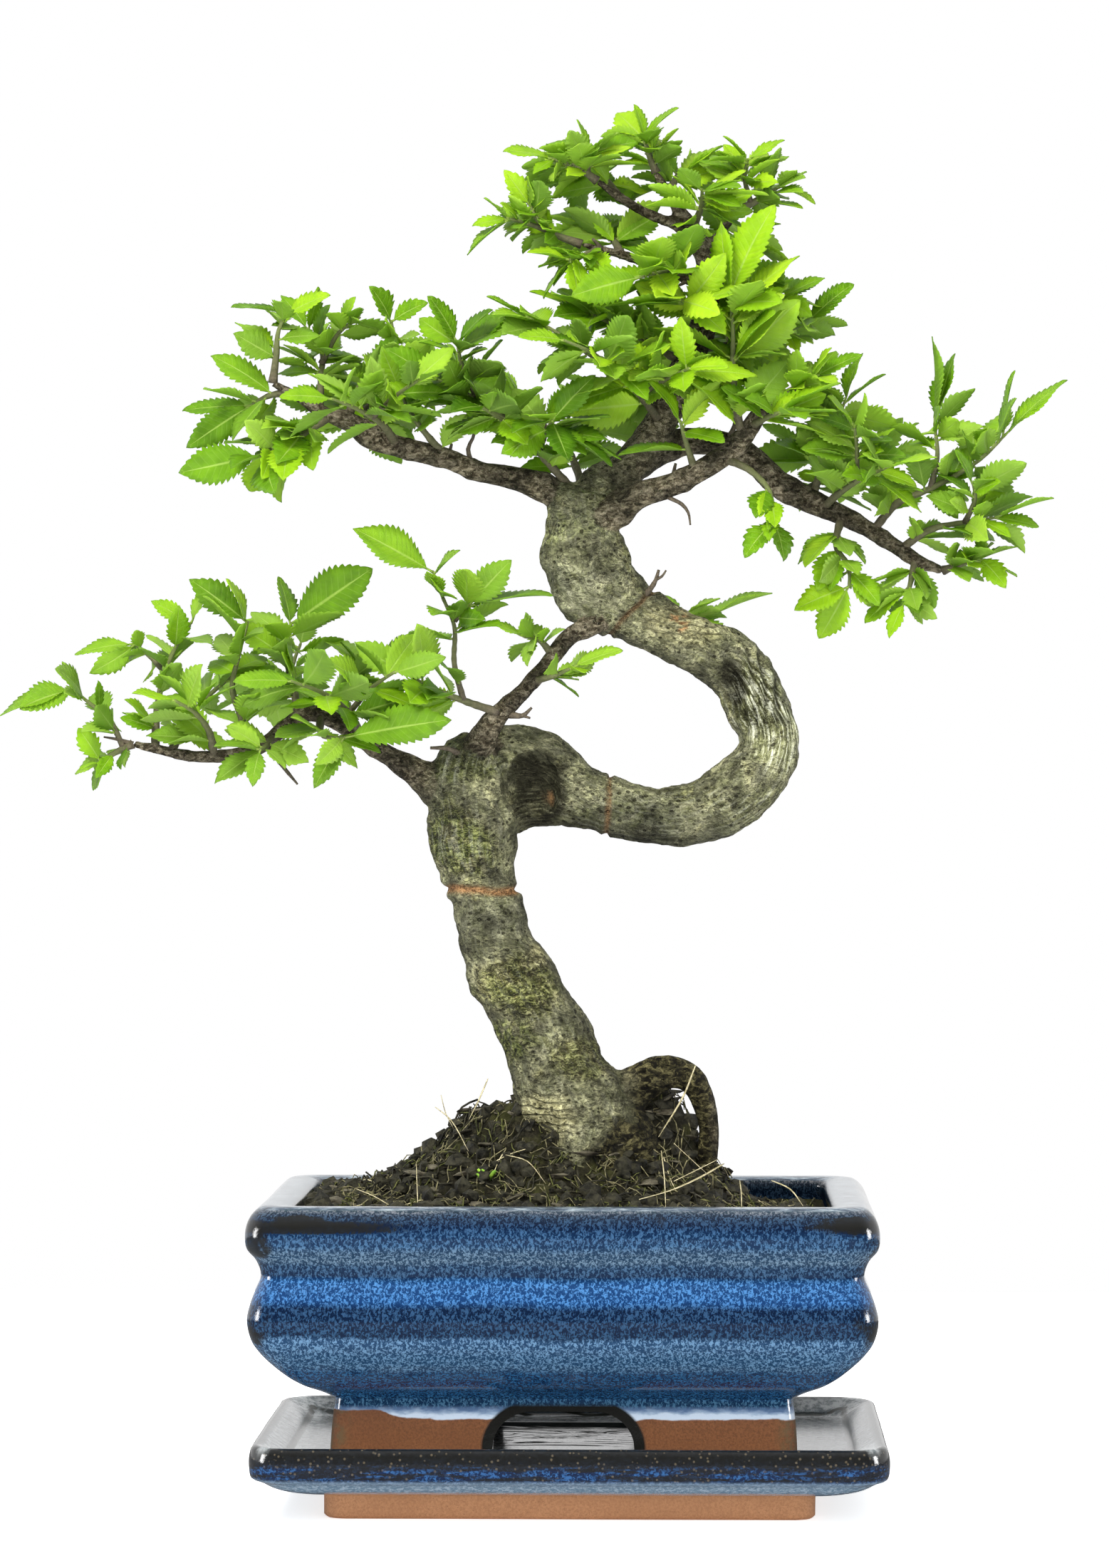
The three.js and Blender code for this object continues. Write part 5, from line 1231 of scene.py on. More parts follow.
SAUCER_BANDS = [
    (7, (0.14, 0.22, 0.31)),
    (12.5, (0.13, 0.2, 0.28)),
    (13.6, (0.02, 0.05, 0.12)),
    (17, (0.018, 0.06, 0.19)),
    (20, (0.012, 0.03, 0.08)),
    (22.5, (0.01, 0.014, 0.02)),
    (25, (0.03, 0.045, 0.07)),
]


SAUCER_PALE = ((0.1, 0.15, 0.2), (0.165, 0.22, 0.275))
SAUCER_BLUE = ((0.004, 0.012, 0.04), (0.022, 0.08, 0.21))
SAUCER_MILKY = ((0.11, 0.13, 0.135), (0.4, 0.42, 0.42))
SAUCER_CLAY = ((0.55, 0.27, 0.13), (0.4, 0.185, 0.083))
SAUCER_SPECK = (0.2, 0.16, 0.1)
SAUCER_DREGS = (0.03, 0.035, 0.03)
SAUCER_PAINTED_SHADE = (0.014, 0.017, 0.017)
SAUCER_SEAM = (0.02, 0.022, 0.016)


def saucer_material():
    """Near-black rim with deep blue streaks, light blue below, milky inside with painted shade on the floor
    under the pot, bare clay foot.
    """
    s = Shader("saucer_glaze")
    place, colour, fleck = glaze_bands(s, SAUCER_BANDS, 1.3, 1.0)
    pale = s.mix(s.between(fleck, 0.44, 0.6), *SAUCER_PALE)
    across, deep, high = s.split(place)
    colour = s.mix(s.between(high, 15.5, 14, 0, 0.8), colour, pale)
    streak = s.noise(s.stretch(place, (0.05, 0.05, 0.5)), 1.0, 4, 0.6, 0.5)
    streak = s.times(s.between(streak, 0.45, 0.58), s.times(s.value("face"), s.between(high, 20.5, 17.5)))
    black = s.mix(s.between(s.cells(place, 0.55), 0.1, 0.3, 0.35, 0), GLAZE_BLACK, SAUCER_SPECK)
    colour = s.mix(s.times(s.value("face"), 0.94), colour, black)
    blue = s.mix(s.between(fleck, 0.46, 0.6), *SAUCER_BLUE)
    colour = s.mix(s.times(streak, 0.9), colour, blue)
    cloud = s.noise(s.stretch(place, (1, 1, 0.25)), 0.35, 5, 0.7)
    milky = s.mix(s.between(cloud, 0.36, 0.6), *SAUCER_MILKY)
    colour = s.mix(s.value("inside"), colour, milky)
    ripple = s.noise(s.stretch(place, (0.22, 1, 1)), 0.075, 4, 0.6, 0.9)
    under = s.sway(deep, ripple, 90)
    beneath = s.between(s.far(across), 72, 68)
    dregs = s.between(s.far(ripple, 0.5), 0.03, 0.012)
    dregs = s.times(s.times(dregs, s.value("inside")), beneath)
    colour = s.mix(dregs, colour, SAUCER_DREGS)
    # Painted shade on the floor under the far part of the pot, with a wavy edge
    beneath = s.times(beneath, s.between(deep, 49, 45))
    under = s.times(s.between(under, 24, 36), beneath)
    colour = s.mix(s.times(under, 0.95), colour, SAUCER_PAINTED_SHADE)
    seam = s.sway(s.value("seam"), cloud, 2.0)
    colour = s.mix(s.times(s.between(seam, 0.35, 0.75), 0.9), colour, SAUCER_SEAM)
    clay, sand = clay_colour(s, place, *SAUCER_CLAY)
    bare = s.between(s.value("clay"), 0.45, 0.55)
    colour = s.mix(bare, colour, clay)
    dull = s.most(under, s.times(dregs, 0.9))
    rough = s.most(s.between(bare, 0, 1, 0.06, 0.85), s.times(dull, 0.55))
    relief = s.mix(bare, s.times(fleck, 0.1), s.times(sand, 0.6))
    shine = s.between(dull, 0, 1, 0.5, 0)
    return s.done(s.principled(colour, rough, s.bump(relief, 0.5), IOR=1.5, Specular_IOR_Level=shine))


MOSS_TONES = ((0.02, 0.022, 0.006), (0.12, 0.12, 0.035))
SOIL_TONES = [(0.3, (0.005, 0.0045, 0.0025)), (0.5, (0.02, 0.018, 0.01)), (0.7, (0.06, 0.054, 0.03))]


def soil_material():
    """Dark humus, with greenish moss in places."""
    s = Shader("soil")
    place = s.place()
    grain = s.noise(place, 0.5, 6, 0.72)
    colour = s.ramp(grain, SOIL_TONES)
    moss = s.between(s.noise(place, 0.06, 4), 0.5, 0.62, 0, 0.6)
    colour = s.mix(moss, colour, s.mix(grain, *MOSS_TONES))
    return s.done(s.principled(colour, 0.9, s.bump(s.noise(place, 1.1, 6, 0.75), 1.6)))


def plain_material(name, dark, light, scale, relief, rough=0.8):
    """Two tones mixed by noise with some relief."""
    s = Shader(name)
    place = s.place()
    grain = s.noise(place, scale, 5, 0.7)
    colour = s.mix(s.between(grain, 0.35, 0.65), dark, light)
    return s.done(s.principled(colour, rough, s.bump(grain, relief)))


leaf_green = leaf_material()
twig_bark = twig_material()
trunk_bark = bark_material()


# Pot and saucer


CORNER_STEPS = 9
SIDE_STEPS = 14
CORNERS = [(1, 1), (-1, 1), (-1, -1), (1, -1)]


def rounded_ring(half_x, half_y, corner, z):
    """A rectangle with round corners, in short steps along its sides too."""

    def on_corner(quarter, share):
        sign_x, sign_y = CORNERS[quarter % 4]
        angle = (quarter + share) * math.pi / 2
        x = sign_x * (half_x - corner) + corner * math.cos(angle)
        return x, sign_y * (half_y - corner) + corner * math.sin(angle)

    points = []
    for quarter in range(4):
        points += [on_corner(quarter, i / CORNER_STEPS) for i in range(CORNER_STEPS + 1)]
        (x0, y0), (x1, y1) = points[-1], on_corner(quarter + 1, 0)
        for i in range(1, SIDE_STEPS):
            t = i / SIDE_STEPS
            points.append((x0 * (1 - t) + x1 * t, y0 * (1 - t) + y1 * t))
    return np.array([(x, y, z) for x, y in points])


def profile_rings(outer, runs, step):
    """Rings for runs of (inset, z). Each run is one smooth curve, with a crisp edge between runs."""
    profile = []
    for run in runs:
        curve = smooth_route([[inset, 0, z, 0] for inset, z in run], step)
        profile += curve[:-1, [0, 2]].tolist()
    profile.append(list(runs[-1][-1]))
    rings = []
    for inset, z in profile:
        corner = max(outer["corner"] - inset * CORNER_LOSS, CORNER_LEAST)
        rings.append(rounded_ring(outer["half_x"] - inset, outer["half_y"] - inset, corner, z))
    return rings


HAND = {"wide": 55, "deep": 0.35}


def hand_made(points, seed):
    """Points moved by a few tenths of a millimetre, as a pressed and fired pot is uneven."""
    wave = lumps(points, HAND["wide"], 2, seed) * HAND["deep"]
    outward = points * [1, 1, 0]
    outward /= np.maximum(np.linalg.norm(outward, axis=1), 1e-6)[:, None]
    return points + outward * wave[:, None]


def prism(outline, y_low, y_high):
    """A straight solid along y from an outline in x and z, which runs from the right over the top."""
    return skin([np.array([(x, y, z) for x, z in outline]) for y in (y_high, y_low)])


def cylinder(x, y, radius, z0, z1, sides=48):
    angles = np.arange(sides) * 2 * math.pi / sides
    flat = [x + radius * np.cos(angles), y + radius * np.sin(angles)]
    return skin([np.column_stack([*flat, np.full(sides, z)]) for z in (z0, z1)])


def cut(thing, cutters):
    """Takes closed meshes out of an object."""
    for index, (points, faces) in enumerate(cutters):
        tool = new_object(f"{thing.name}_cutter_{index}", points, faces)
        add_modifier(thing, "BOOLEAN", operation="DIFFERENCE", solver="EXACT", object=tool)
        applied(thing)
        bpy.data.objects.remove(tool)


def finish_ware(thing, material, node):
    """Crisp edges stay crisp, and the piece takes its node's place."""
    thing.data.shade_smooth()
    thing.data.set_sharp_from_angle(angle=math.radians(50))
    dress(thing, [material], node)


def make_saucer():
    foot = SAUCER["foot_inset"]
    inner = foot + SAUCER["foot_wall"]
    runs = [
        [(inner + 1, 11), (inner, 10)],
        [(inner, 10), (inner, 0.6)],
        [(inner, 0.6), (inner - 0.8, 0), (foot + 1.2, 0), (foot, 1.2)],
        [(foot, 1.2), (foot, 8)],
        [(foot, 8), (15, 8.8), (8, 10.6), (3.6, 13)],
        [(3.6, 13), (0.7, 14.4), (0, 17.5), (0.1, 21.5), (1, 24.2), (2.6, 24.8), (4, 24.3)],
        [(4, 24.3), (9.4, 21), (11.2, 19.4), (13.5, SAUCER["floor_z"])],
        [(13.5, SAUCER["floor_z"]), (30, SAUCER["floor_z"])],
    ]
    points, faces = skin(profile_rings(SAUCER, runs, 1.1))
    saucer = new_object("saucer_glazed", hand_made(points, 3) + [SAUCER["aside"], 0, 0], faces)
    x, y, z = (vertex_array(saucer.data) - [SAUCER["aside"], 0, 0]).T
    inset = np.minimum(SAUCER["half_x"] - np.abs(x), SAUCER["half_y"] - np.abs(y))
    set_value(saucer.data, "clay", ease(8.6, 7.4, z))
    set_value(saucer.data, "face", ease(14.2, 15.3, z) * ease(6, 4, inset))
    set_value(saucer.data, "inside", ease(3.2, 4.6, inset) * ease(17, 18.5, z))
    set_value(saucer.data, "seam", ease(18, 18.8, z) * np.exp(-(((inset - 10.8) / 1.1) ** 2)))
    finish_ware(saucer, saucer_material(), "saucer")


def make_pot():
    def z(height):
        """A height of the pot's profile, which is drawn as if it stood on the saucer without a gap."""
        return height + FIT

    foot = POT["foot_inset"]
    wall = POT["foot_wall"]
    mouth = POT["mouth_inset"]
    runs = [
        [(foot + wall + 1, z(34)), (foot + wall, z(33))],
        [(foot + wall, z(33)), (foot + wall - 1, POT_Z + 0.6)],
        [
            (foot + wall - 1, POT_Z + 0.6), (foot + wall - 1.8, POT_Z), (foot + 0.3, POT_Z),
            (foot - 0.5, POT_Z + 0.8),
        ],
        [(foot - 0.5, POT_Z + 0.8), (foot, z(28)), (foot + 1, z(37.4))],
        [
            (foot + 1, z(37.4)), (22.9, z(39.7)), (17.7, z(42.1)), (13.4, z(45)), (8.7, z(49)),
            (4.8, z(53.1)), (2, z(57.4)), (0.6, z(64)), (1.6, z(69)), (3.2, z(73.3)), (5, z(78)),
            (3.5, z(82.8)), (0.7, z(86.3)), (0, z(90)), (0.5, z(94)), (1.9, z(97)), (3.6, z(98.8)),
        ],
        [(3.6, z(98.8)), (5.2, z(99.7)), (9, z(100)), (12.4, z(99.6)), (14.6, z(98.6)), (mouth, z(97))],
        [
            (mouth, z(97)), (14.2, z(92)), (13.5, z(86)), (12.5, z(68)), (15, z(56)), (23, z(45)),
            (33, z(POT["floor_z"])),
        ],
    ]
    points, faces = skin(profile_rings(POT, runs, 1.2))
    pot = new_object("pot_glazed", hand_made(points, 8), faces)
    holes = [prism(arch_outline(), -POT["half_y"], POT["half_y"])]
    for side in (-1, 1):
        holes.append(cylinder(side * DRAIN["x"], 0, DRAIN["radius"], POT["base_z"] - 6, POT["floor_z"] + 6))
    cut(pot, holes)
    x, y, height = vertex_array(pot.data).T
    corner_x = POT["half_x"] - np.abs(x)
    corner_y = POT["half_y"] - np.abs(y)
    inset = np.minimum(corner_x, corner_y)
    corner = ease(15, 8, corner_x + corner_y) * ease(34, 46, height) * ease(99, 94, height)
    ends = ease(45, 85, np.abs(x))
    lip = ease(92, 94.5, height) * ease(98.6, 97.2, height) * ease(9, 6, inset) * (0.2 + 0.5 * ends)
    set_value(pot.data, "edge", np.maximum(lip, corner * 0.62))
    set_value(pot.data, "top", ease(98.9, 99.8, height) * ease(1.5, 4, inset))
    set_value(pot.data, "foot", ease(36.5, 35.5, height))
    set_value(pot.data, "well", ease(11.8, 13, inset) * ease(50, 54, height) * ease(99.6, 98.4, height))
    finish_ware(pot, pot_material(), "pot")


def arch_outline():
    """The arch of the foot in x and z, from the right over the top to the left."""
    side = ARCH["bottom"]
    steps = 8
    half = [(side, POT_Z - 5), (side, POT_Z + ARCH["straight"])]
    for i in range(1, steps + 1):
        turn = i / steps * math.pi / 2
        rise = (ARCH["height"] - ARCH["straight"]) * math.sin(turn)
        half.append((ARCH["flat"] + (side - ARCH["flat"]) * math.cos(turn), POT_Z + ARCH["straight"] + rise))
    return half + [(-x, height) for x, height in half[::-1]]


# Trunk, limbs and roots as one skin

WOOD = {"voxel": 0.95, "quick_voxel": 1.6, "relax": 0.5, "sides": 30, "step": 2.4, "girth": 13}
FOLD_HOLLOW = {"centre": [-11.5, -9, 231.5], "radii": [9.5, 11, 13]}
# Grooves round the trunk left by wire: place, the way across them, depth, width, how orange, how dark
RINGS = [
    ([-27.2, 0, 198.6], (0.02, 0, 1), 1.3, 1.1, 0.95, 0.1),
    ([13.6, 0, 226.2], (1, 0, -0.05), 0.8, 0.7, 0.35, 0.8),
    ([21.5, 0, 289.6], (0.72, 0, -0.69), 1.0, 0.7, 0.3, 0.8),
]
# Hollows and knots: centre, radii, depth. Knots have a negative depth. Hollows also get painted shade
SCARS = [
    ([53.5, -9, 265], [7.5, 11, 14], 5.0), ([70, -12, 250], [5, 8, 10], -1.2),
    ([44, -12, 275], [5, 8, 4], 1.2), ([4, -20, 127], [7, 8, 3], 1.6), ([10, -24, 112], [7, 9, 7], 2.6),
    ([24, -22, 108], [7, 9, 7], 3.0), ([-14, -20, 165], [7, 9, 6], 1.0),
    ([-6, -22, 152], [6, 9, 5], -0.9), ([-14, -14, 178], [4, 8, 5], -1.4),
    ([-38, -10, 215], [5, 8, 7], -1.6), ([36, -14, 288], [6, 6, 4], -0.8),
    ([-32, -4, 166], [7, 16, 9], -2.2), ([-10, -4, 306], [8, 16, 10], -3.0),
    ([12, -14, 304], [6, 8, 8], 1.4), ([-3, -14, 290], [5, 8, 5], 1.0),
    ([-23, -12, 238], [4, 10, 12], -1.8), ([-12, -10, 247], [12, 10, 4], -1.8),
    ([1, -10, 241], [4, 10, 6], -1.2),
]
# Where the wood is twisted like ropes, and where it is rusty
ROPES = {"centre": [62, -6, 264], "radii": [12, 18, 22], "wave": 3.6, "depth": 0.9}
RUST = [([37, -8, 286.5], [5, 14, 6]), ([-6, -5, 227.5], [2.2, 14, 1.6])]
# What the bark is like away from the patches
BARK_EVEN = {"light": 0.85, "scaly": 0.25, "green": 0.15, "tan": 0, "streaky": 0.1}
# Patches of the bark: centre, radii, how much lighter (partly the bark's own tone, partly painted light and
# shade, such as the lit right side of the loop and the trunk under the crown), how scaly, how green, how tan,
# how full of fibres
PATCHES = [
    ([-35, -6, 214], [19, 26, 17], -0.15, 0.7, 0.95, 0, 0.25),
    ([-24, -6, 189], [19, 26, 9], -0.3, -0.4, 0, 0, 0),
    ([-16, -6, 168], [21, 26, 15], 0.1, 1.1, 0.5, 0, 0),
    ([-9, -10, 178], [6, 12, 7], 0.5, 0.2, 0, 0.9, 0),
    ([-19, -8, 150], [13, 26, 10], -0.1, 0.2, 0.95, 0, 0),
    ([6, -10, 144], [17, 26, 11], 0, 0.6, 0.6, 0.2, 0),
    ([-6, -10, 122], [20, 26, 17], 0.5, -0.2, 0, 0.95, 0),
    ([-2, -8, 108], [19, 26, 9], 0, -0.2, 0, 0.6, 0),
    ([20, -6, 218], [32, 26, 17], -0.45, -0.4, 0.2, 0, 0.2),
    ([60, 0, 226], [20, 26, 18], 0.2, 0.1, 0.3, 0, 0.5),
    ([66, 0, 248], [18, 26, 24], 0.75, 0, 0.2, 0, 0.8),
    ([60, -6, 262], [13, 20, 18], 0.3, 0.5, 0.3, 0, 0.9),
    ([38, -4, 286], [20, 26, 12], 0.2, 0.1, 0, 0.7, 0),
    ([2, -4, 296], [22, 26, 20], 0.15, -0.3, 0, 0, 0),
    ([2, -4, 316], [22, 26, 10], 0.5, -0.2, 0.3, 0, 0),
    ([-32, -4, 240], [22, 26, 12], 0, 0.2, 0.5, 0, 0.4),
    ([50, 0, 213], [24, 26, 12], 0, -0.4, 0.1, 0, 0.2),
]
# Dark brown roots and what lies between them, partly their own colour and partly painted shade; the outer
# side of the right leg is kept lighter, partly as painted light
ROOTS = [([40, 0, 130], [34, 34, 44]), ([30, -14, 106], [36, 40, 28])]
ROOT_LIT_SIDE = {"centre": [53, 0, 126], "radii": [10, 34, 34]}
# Painted shade in the gap of the fold, which is darkest right of its edge
FOLD_SHADE = {"centre": [-9.5, -6, 230.5], "radii": [15, 28, 20], "edge": -17.5}


def wood_wave(travelled, young):
    """The swell of a tube's rings: slow lobes that wind along it, and knots on the limbs."""

    def wave(i, angles):
        at = travelled[i]
        lobes = 0.035 * (np.sin(2 * angles + at * 0.11) + 0.7 * np.sin(3 * angles - at * 0.19))
        knots = young * 0.16 * max(0, math.sin(at * 0.42 + 2 * math.sin(at * 0.13))) ** 6
        return lobes + knots

    return wave


def travelled_along(stations):
    """How far along its line each station is."""
    steps = np.linalg.norm(np.diff(stations[:, :3], axis=0), axis=1)
    return np.concatenate([[0], np.cumsum(steps)])


def wood_tube(stations, young):
    travelled = travelled_along(stations)
    return tube(stations, WOOD["sides"] if not young else 14, wood_wave(travelled, young))


def in_egg(points, centre, radii):
    """How deep points lie in an egg: 1 in its middle, 0 on its skin and beyond."""
    away = np.linalg.norm((points - centre) / np.asarray(radii, float), axis=1)
    return ease(1, 0, away)


def egg(centre, radii):
    rings = []
    for i in range(1, 12):
        turn = math.pi * i / 12
        angles = np.arange(24) * 2 * math.pi / 24
        out = math.sin(turn)
        flat = [radii[0] * out * np.cos(angles), radii[1] * out * np.sin(angles)]
        rings.append(np.column_stack([*flat, 0 * angles - radii[2] * math.cos(turn)]) + centre)
    return skin(rings)


def make_wood():
    trunk_routes = [(LOWER_TRUNK, 0), (UPPER_TRUNK, 0), (FOLD_WEB, 0)]
    limbs = [(route, 0 if name.startswith("root") else 1) for name, route in BRANCHES.items()]
    routes = trunk_routes + limbs
    all_stations = [smooth_route(route, WOOD["step"]) for route, _ in routes]
    points, faces = joined([wood_tube(s, young) for s, (_, young) in zip(all_stations, routes)])
    wood = new_object("tree_wood", points, faces)
    voxel = WOOD["voxel"]
    add_modifier(wood, "REMESH", mode="VOXEL", voxel_size=voxel * MM)
    add_modifier(wood, "SMOOTH", factor=WOOD["relax"], iterations=3)
    applied(wood)
    cut(wood, [egg(np.array(FOLD_HOLLOW["centre"], float), FOLD_HOLLOW["radii"])])
    add_modifier(wood, "SMOOTH", factor=WOOD["relax"], iterations=4)
    applied(wood)
    shape_bark(wood, all_stations, len(trunk_routes))
    wood.data.shade_smooth()
    dress(wood, [trunk_bark], "trunk")


def nearest_station(where, centres, first, last):
    """For each point the number of the station of the wood that it is nearest to."""
    tree = KDTree(last - first)
    for i in range(first, last):
        tree.insert(centres[i].tolist(), i)
    tree.balance()
    return np.array([tree.find(place)[1] for place in where.tolist()])


def shape_bark(wood, all_stations, trunk_routes):
    """Bumps, wrinkles, grooves and scars of the bark, and the values that its material reads, painted light
    and shade among them.
    """
    where = vertex_array(wood.data)
    normals = vertex_normals(wood.data)
    centres = np.concatenate([s[:, :3] for s in all_stations])
    radii = np.concatenate([s[:, 3] for s in all_stations])
    along = np.concatenate([frames_along(s[:, :3])[0] for s in all_stations])
    thick = sum(len(s) for s in all_stations[:trunk_routes])
    nearest = nearest_station(where, centres, 0, thick)
    limb = nearest_station(where, centres, thick, len(centres))
    outside = [np.linalg.norm(where - centres[found], axis=1) - radii[found] for found in (nearest, limb)]
    nearest = np.where(outside[0] < outside[1], nearest, limb)
    radius = radii[nearest]
    old = ease(4.5, 9, radius)
    x, y, z = where.T
    gone = np.concatenate([travelled_along(s) for s in all_stations])
    away = where - centres[nearest]
    length = gone[nearest] + np.sum(away * along[nearest], axis=1)
    ridge = np.sum(away * np.cross(along[nearest], [0, 1, 0]), axis=1)
    angle = np.arctan2(ridge, -away[:, 1])
    rough = 0.35 + 0.65 * old
    small = lumps(where, 5.5, 3, 5)
    move = rough * (0.85 * lumps(where, 15, 3, 1) + 0.5 * small + 0.2 * lumps(where, 2.1, 2, 9))
    low = ease(140, 112, z) * old
    wrinkles = np.sin(z * 1.15 + 2.2 * lumps(where, 14, 2, 12) + 0.06 * x)
    move += low * 0.4 * wrinkles * ease(-0.2, 0.7, lumps(where, 22, 2, 13))
    buttress = np.sin(5 * np.arctan2(y, x - 6) + 1.1 + 0.02 * z)
    move += low * 2.0 * buttress
    fibres = np.sin(ridge * 1.05 + 1.7 * lumps(where, 20, 2, 21))
    move += old * 0.3 * fibres * ease(0, 0.5, lumps(where, 26, 2, 22))
    dark = ease(0.1, 0.75, -lumps(where, 4.4, 3, 5)) * 0.55
    scar = np.zeros(len(where))
    for place, axis, depth, wide, orange, black in RINGS:
        nearby = np.linalg.norm(centres[nearest] - place, axis=1) < 12
        across = (where - place) @ unit(np.array(axis, float)) + 0.6 * lumps(where, 9, 2, 31)
        groove = np.where(nearby, np.exp(-((across / wide) ** 2)), 0)
        lips = np.where(nearby, np.exp(-(((np.abs(across) - 2.2 * wide) / wide) ** 2)), 0)
        move += 0.4 * lips - depth * groove
        scar = np.maximum(scar, orange * np.clip(1.3 * groove, 0, 1))
        dark = np.maximum(dark, black * groove)
    for centre, size, depth in SCARS:
        inside = in_egg(where, centre, size)
        move -= depth * inside * (1 + 0.3 * lumps(where, 4, 2, 33))
        # Hollows are painted dark as well: painted shade
        if depth > 0:
            dark = np.maximum(dark, min(1, 0.3 * depth) * ease(0.1, 0.5, inside))
    ropes = ease(0, 0.5, in_egg(where, ROPES["centre"], ROPES["radii"]))
    waved = np.sin(2 * math.pi * (x + 0.12 * z + 1.5 * lumps(where, 18, 2, 51)) / ROPES["wave"])
    move += ROPES["depth"] * ropes * waved
    # Painted shade in the troughs between the ropes
    dark = np.maximum(dark, 0.8 * ropes * ease(-0.3, -0.9, waved))
    flaked = ease(-0.1, 0.3, lumps(where, 2.5, 2, 41))
    for centre, size in RUST:
        scar = np.maximum(scar, ease(0.1, 0.5, in_egg(where, centre, size)) * flaked)
    # Painted shade in the fold's gap, right of its edge
    fold = in_egg(where + 1.5 * lumps(where, 7, 2, 61)[:, None], FOLD_SHADE["centre"], FOLD_SHADE["radii"])
    right = ease(FOLD_SHADE["edge"] - 1.2, FOLD_SHADE["edge"] + 0.8, x)
    dark = np.maximum(dark, ease(0.05, 0.4, fold) * right)
    # Painted shade on the undersides of the old wood
    painted_underside_shade = ease(-0.35, -0.9, normals[:, 2]) * old * 0.35
    blotch = lumps(where, 16, 3, 44)
    values = {name: share + 0 * x for name, share in BARK_EVEN.items()}
    for centre, size, *shares in PATCHES:
        inside = ease(0.05, 0.6, in_egg(where, centre, size) + 0.22 * blotch)
        for values_of, share in zip(values.values(), shares):
            values_of += share * inside
    root = np.zeros(len(where))
    for centre, size in ROOTS:
        root = np.maximum(root, ease(0.05, 0.35, in_egg(where, centre, size) + 0.2 * blotch))
    # The right leg's outer side is painted lighter than its shaded inner side: partly paler bark, partly
    # painted light
    root *= 1 - 0.7 * ease(0.05, 0.4, in_egg(where, ROOT_LIT_SIDE["centre"], ROOT_LIT_SIDE["radii"]) + 0.15 * blotch)
    set_vertices(wood.data, where + normals * move[:, None])
    values = {name: np.clip(value, 0, 3) for name, value in values.items()}
    values["dark"] = np.clip(np.maximum(dark, painted_underside_shade), 0, 1)
    values.update({"scar": np.clip(scar, 0, 1), "root": root, "young": 1 - old})
    values.update({"along": length, "around": WOOD["girth"] * angle})
    for name, value in values.items():
        set_value(wood.data, name, value)


# Stubs on the limbs: the thickest and lowest place they grow from, how often not, and their size
STUB = {"step": 9, "thickest": 5, "lowest": 200, "rare": 0.45, "short": 0.8, "longer": 2.6, "bend": 0.8}
STUB.update({"radius": 0.9, "end": 0.45})


def make_bare_twigs():
    """Short bare twigs and stubs on the limbs."""
    parts = [twig_mesh(route, first, last) for route, first, last in BARE]
    for index, limb in enumerate(BRANCHES.values()):
        draw = draws(STUB_SEED[0] * index + STUB_SEED[1])
        stations = smooth_route(limb, STUB["step"])
        for station in stations[1:-1]:
            if station[3] > STUB["thickest"] or station[2] < STUB["lowest"] or draw() < STUB["rare"]:
                continue
            turn = np.array([draw() - 0.5, draw() - 0.5, draw() - 0.2])
            start = station[:3] + 0
            stub = station[3] + STUB["short"] + STUB["longer"] * draw() ** 2
            bend = np.array([draw() - 0.5, draw() - 0.5, draw()]) * STUB["bend"]
            route = [start, start + unit(turn) * stub * 0.7, start + unit(turn) * stub + bend]
            parts.append(twig_mesh(route, STUB["radius"], STUB["end"]))
    points, faces = joined([part[:2] for part in parts])
    twigs = new_object("bare_twigs", points, faces)
    layer = twigs.data.uv_layers.new(name="blade")
    layer.data.foreach_set("uv", np.zeros(len(twigs.data.loops) * 2))
    dress(twigs, [twig_bark])


# Sprays

EXTRA = {"rounds": 6, "ease": 0.45, "size": 0.88, "tries": 8, "clear": 5}
EXTRA.update({"thin": ("low_", "left_tip", "left_far", "hanging", "loop"), "thin_rounds": 3})
EXTRA.update({"first": 0.12, "span": 0.84, "short": 0.72, "longer": 0.4})


# Radii of twigs at their foot and end, and how far off a leaf stands that gets a longer stalk
MAIN_TWIG = 1.45
SIDE_TWIG = 1.05
TWIG_END = 0.42
STALK_LEAST = 0.4


def hides_limb(leaf, limbs):
    """Whether a leaf hangs before one of the limbs that show in front."""
    middle = leaf_point(leaf, LEAF_MIDDLE, 0)
    away = np.hypot(limbs[:, 0] - middle[0], limbs[:, 2] - middle[2])
    nearest = int(np.argmin(away))
    return away[nearest] < limbs[nearest, 3] + EXTRA["clear"] and middle[1] < limbs[nearest, 1] + 4


def more_leaves(foliage):
    """Further leaves of the sprays, nearer to each other than the solid ones are."""
    shown = ("upper_left", "right_rise", "right_droop")
    limbs = np.concatenate([smooth_route(BRANCHES[name], 3)[3:-4] for name in shown])
    for turn in range(EXTRA["rounds"]):
        for name, spray, twig_index, one in all_twigs():
            if turn >= EXTRA["thin_rounds"] and name.startswith(EXTRA["thin"]):
                continue
            draw = twig_draws(spray, twig_index, EXTRA_SEED, turn)
            count = max(2, one["leaves"])
            for i in range(count):
                share = EXTRA["first"] + EXTRA["span"] * (i + draw()) / count
                side = 1 if draw() < 0.5 else -1
                length = one["size"] * EXTRA["size"] * (EXTRA["short"] + EXTRA["longer"] * draw())
                for _ in range(EXTRA["tries"]):
                    leaf = side_leaf(one["route"], share, side, length, draw)
                    if hides_limb(leaf, limbs):
                        continue
                    if foliage.keep(leaf, spray, twig_index, EXTRA["ease"]):
                        break


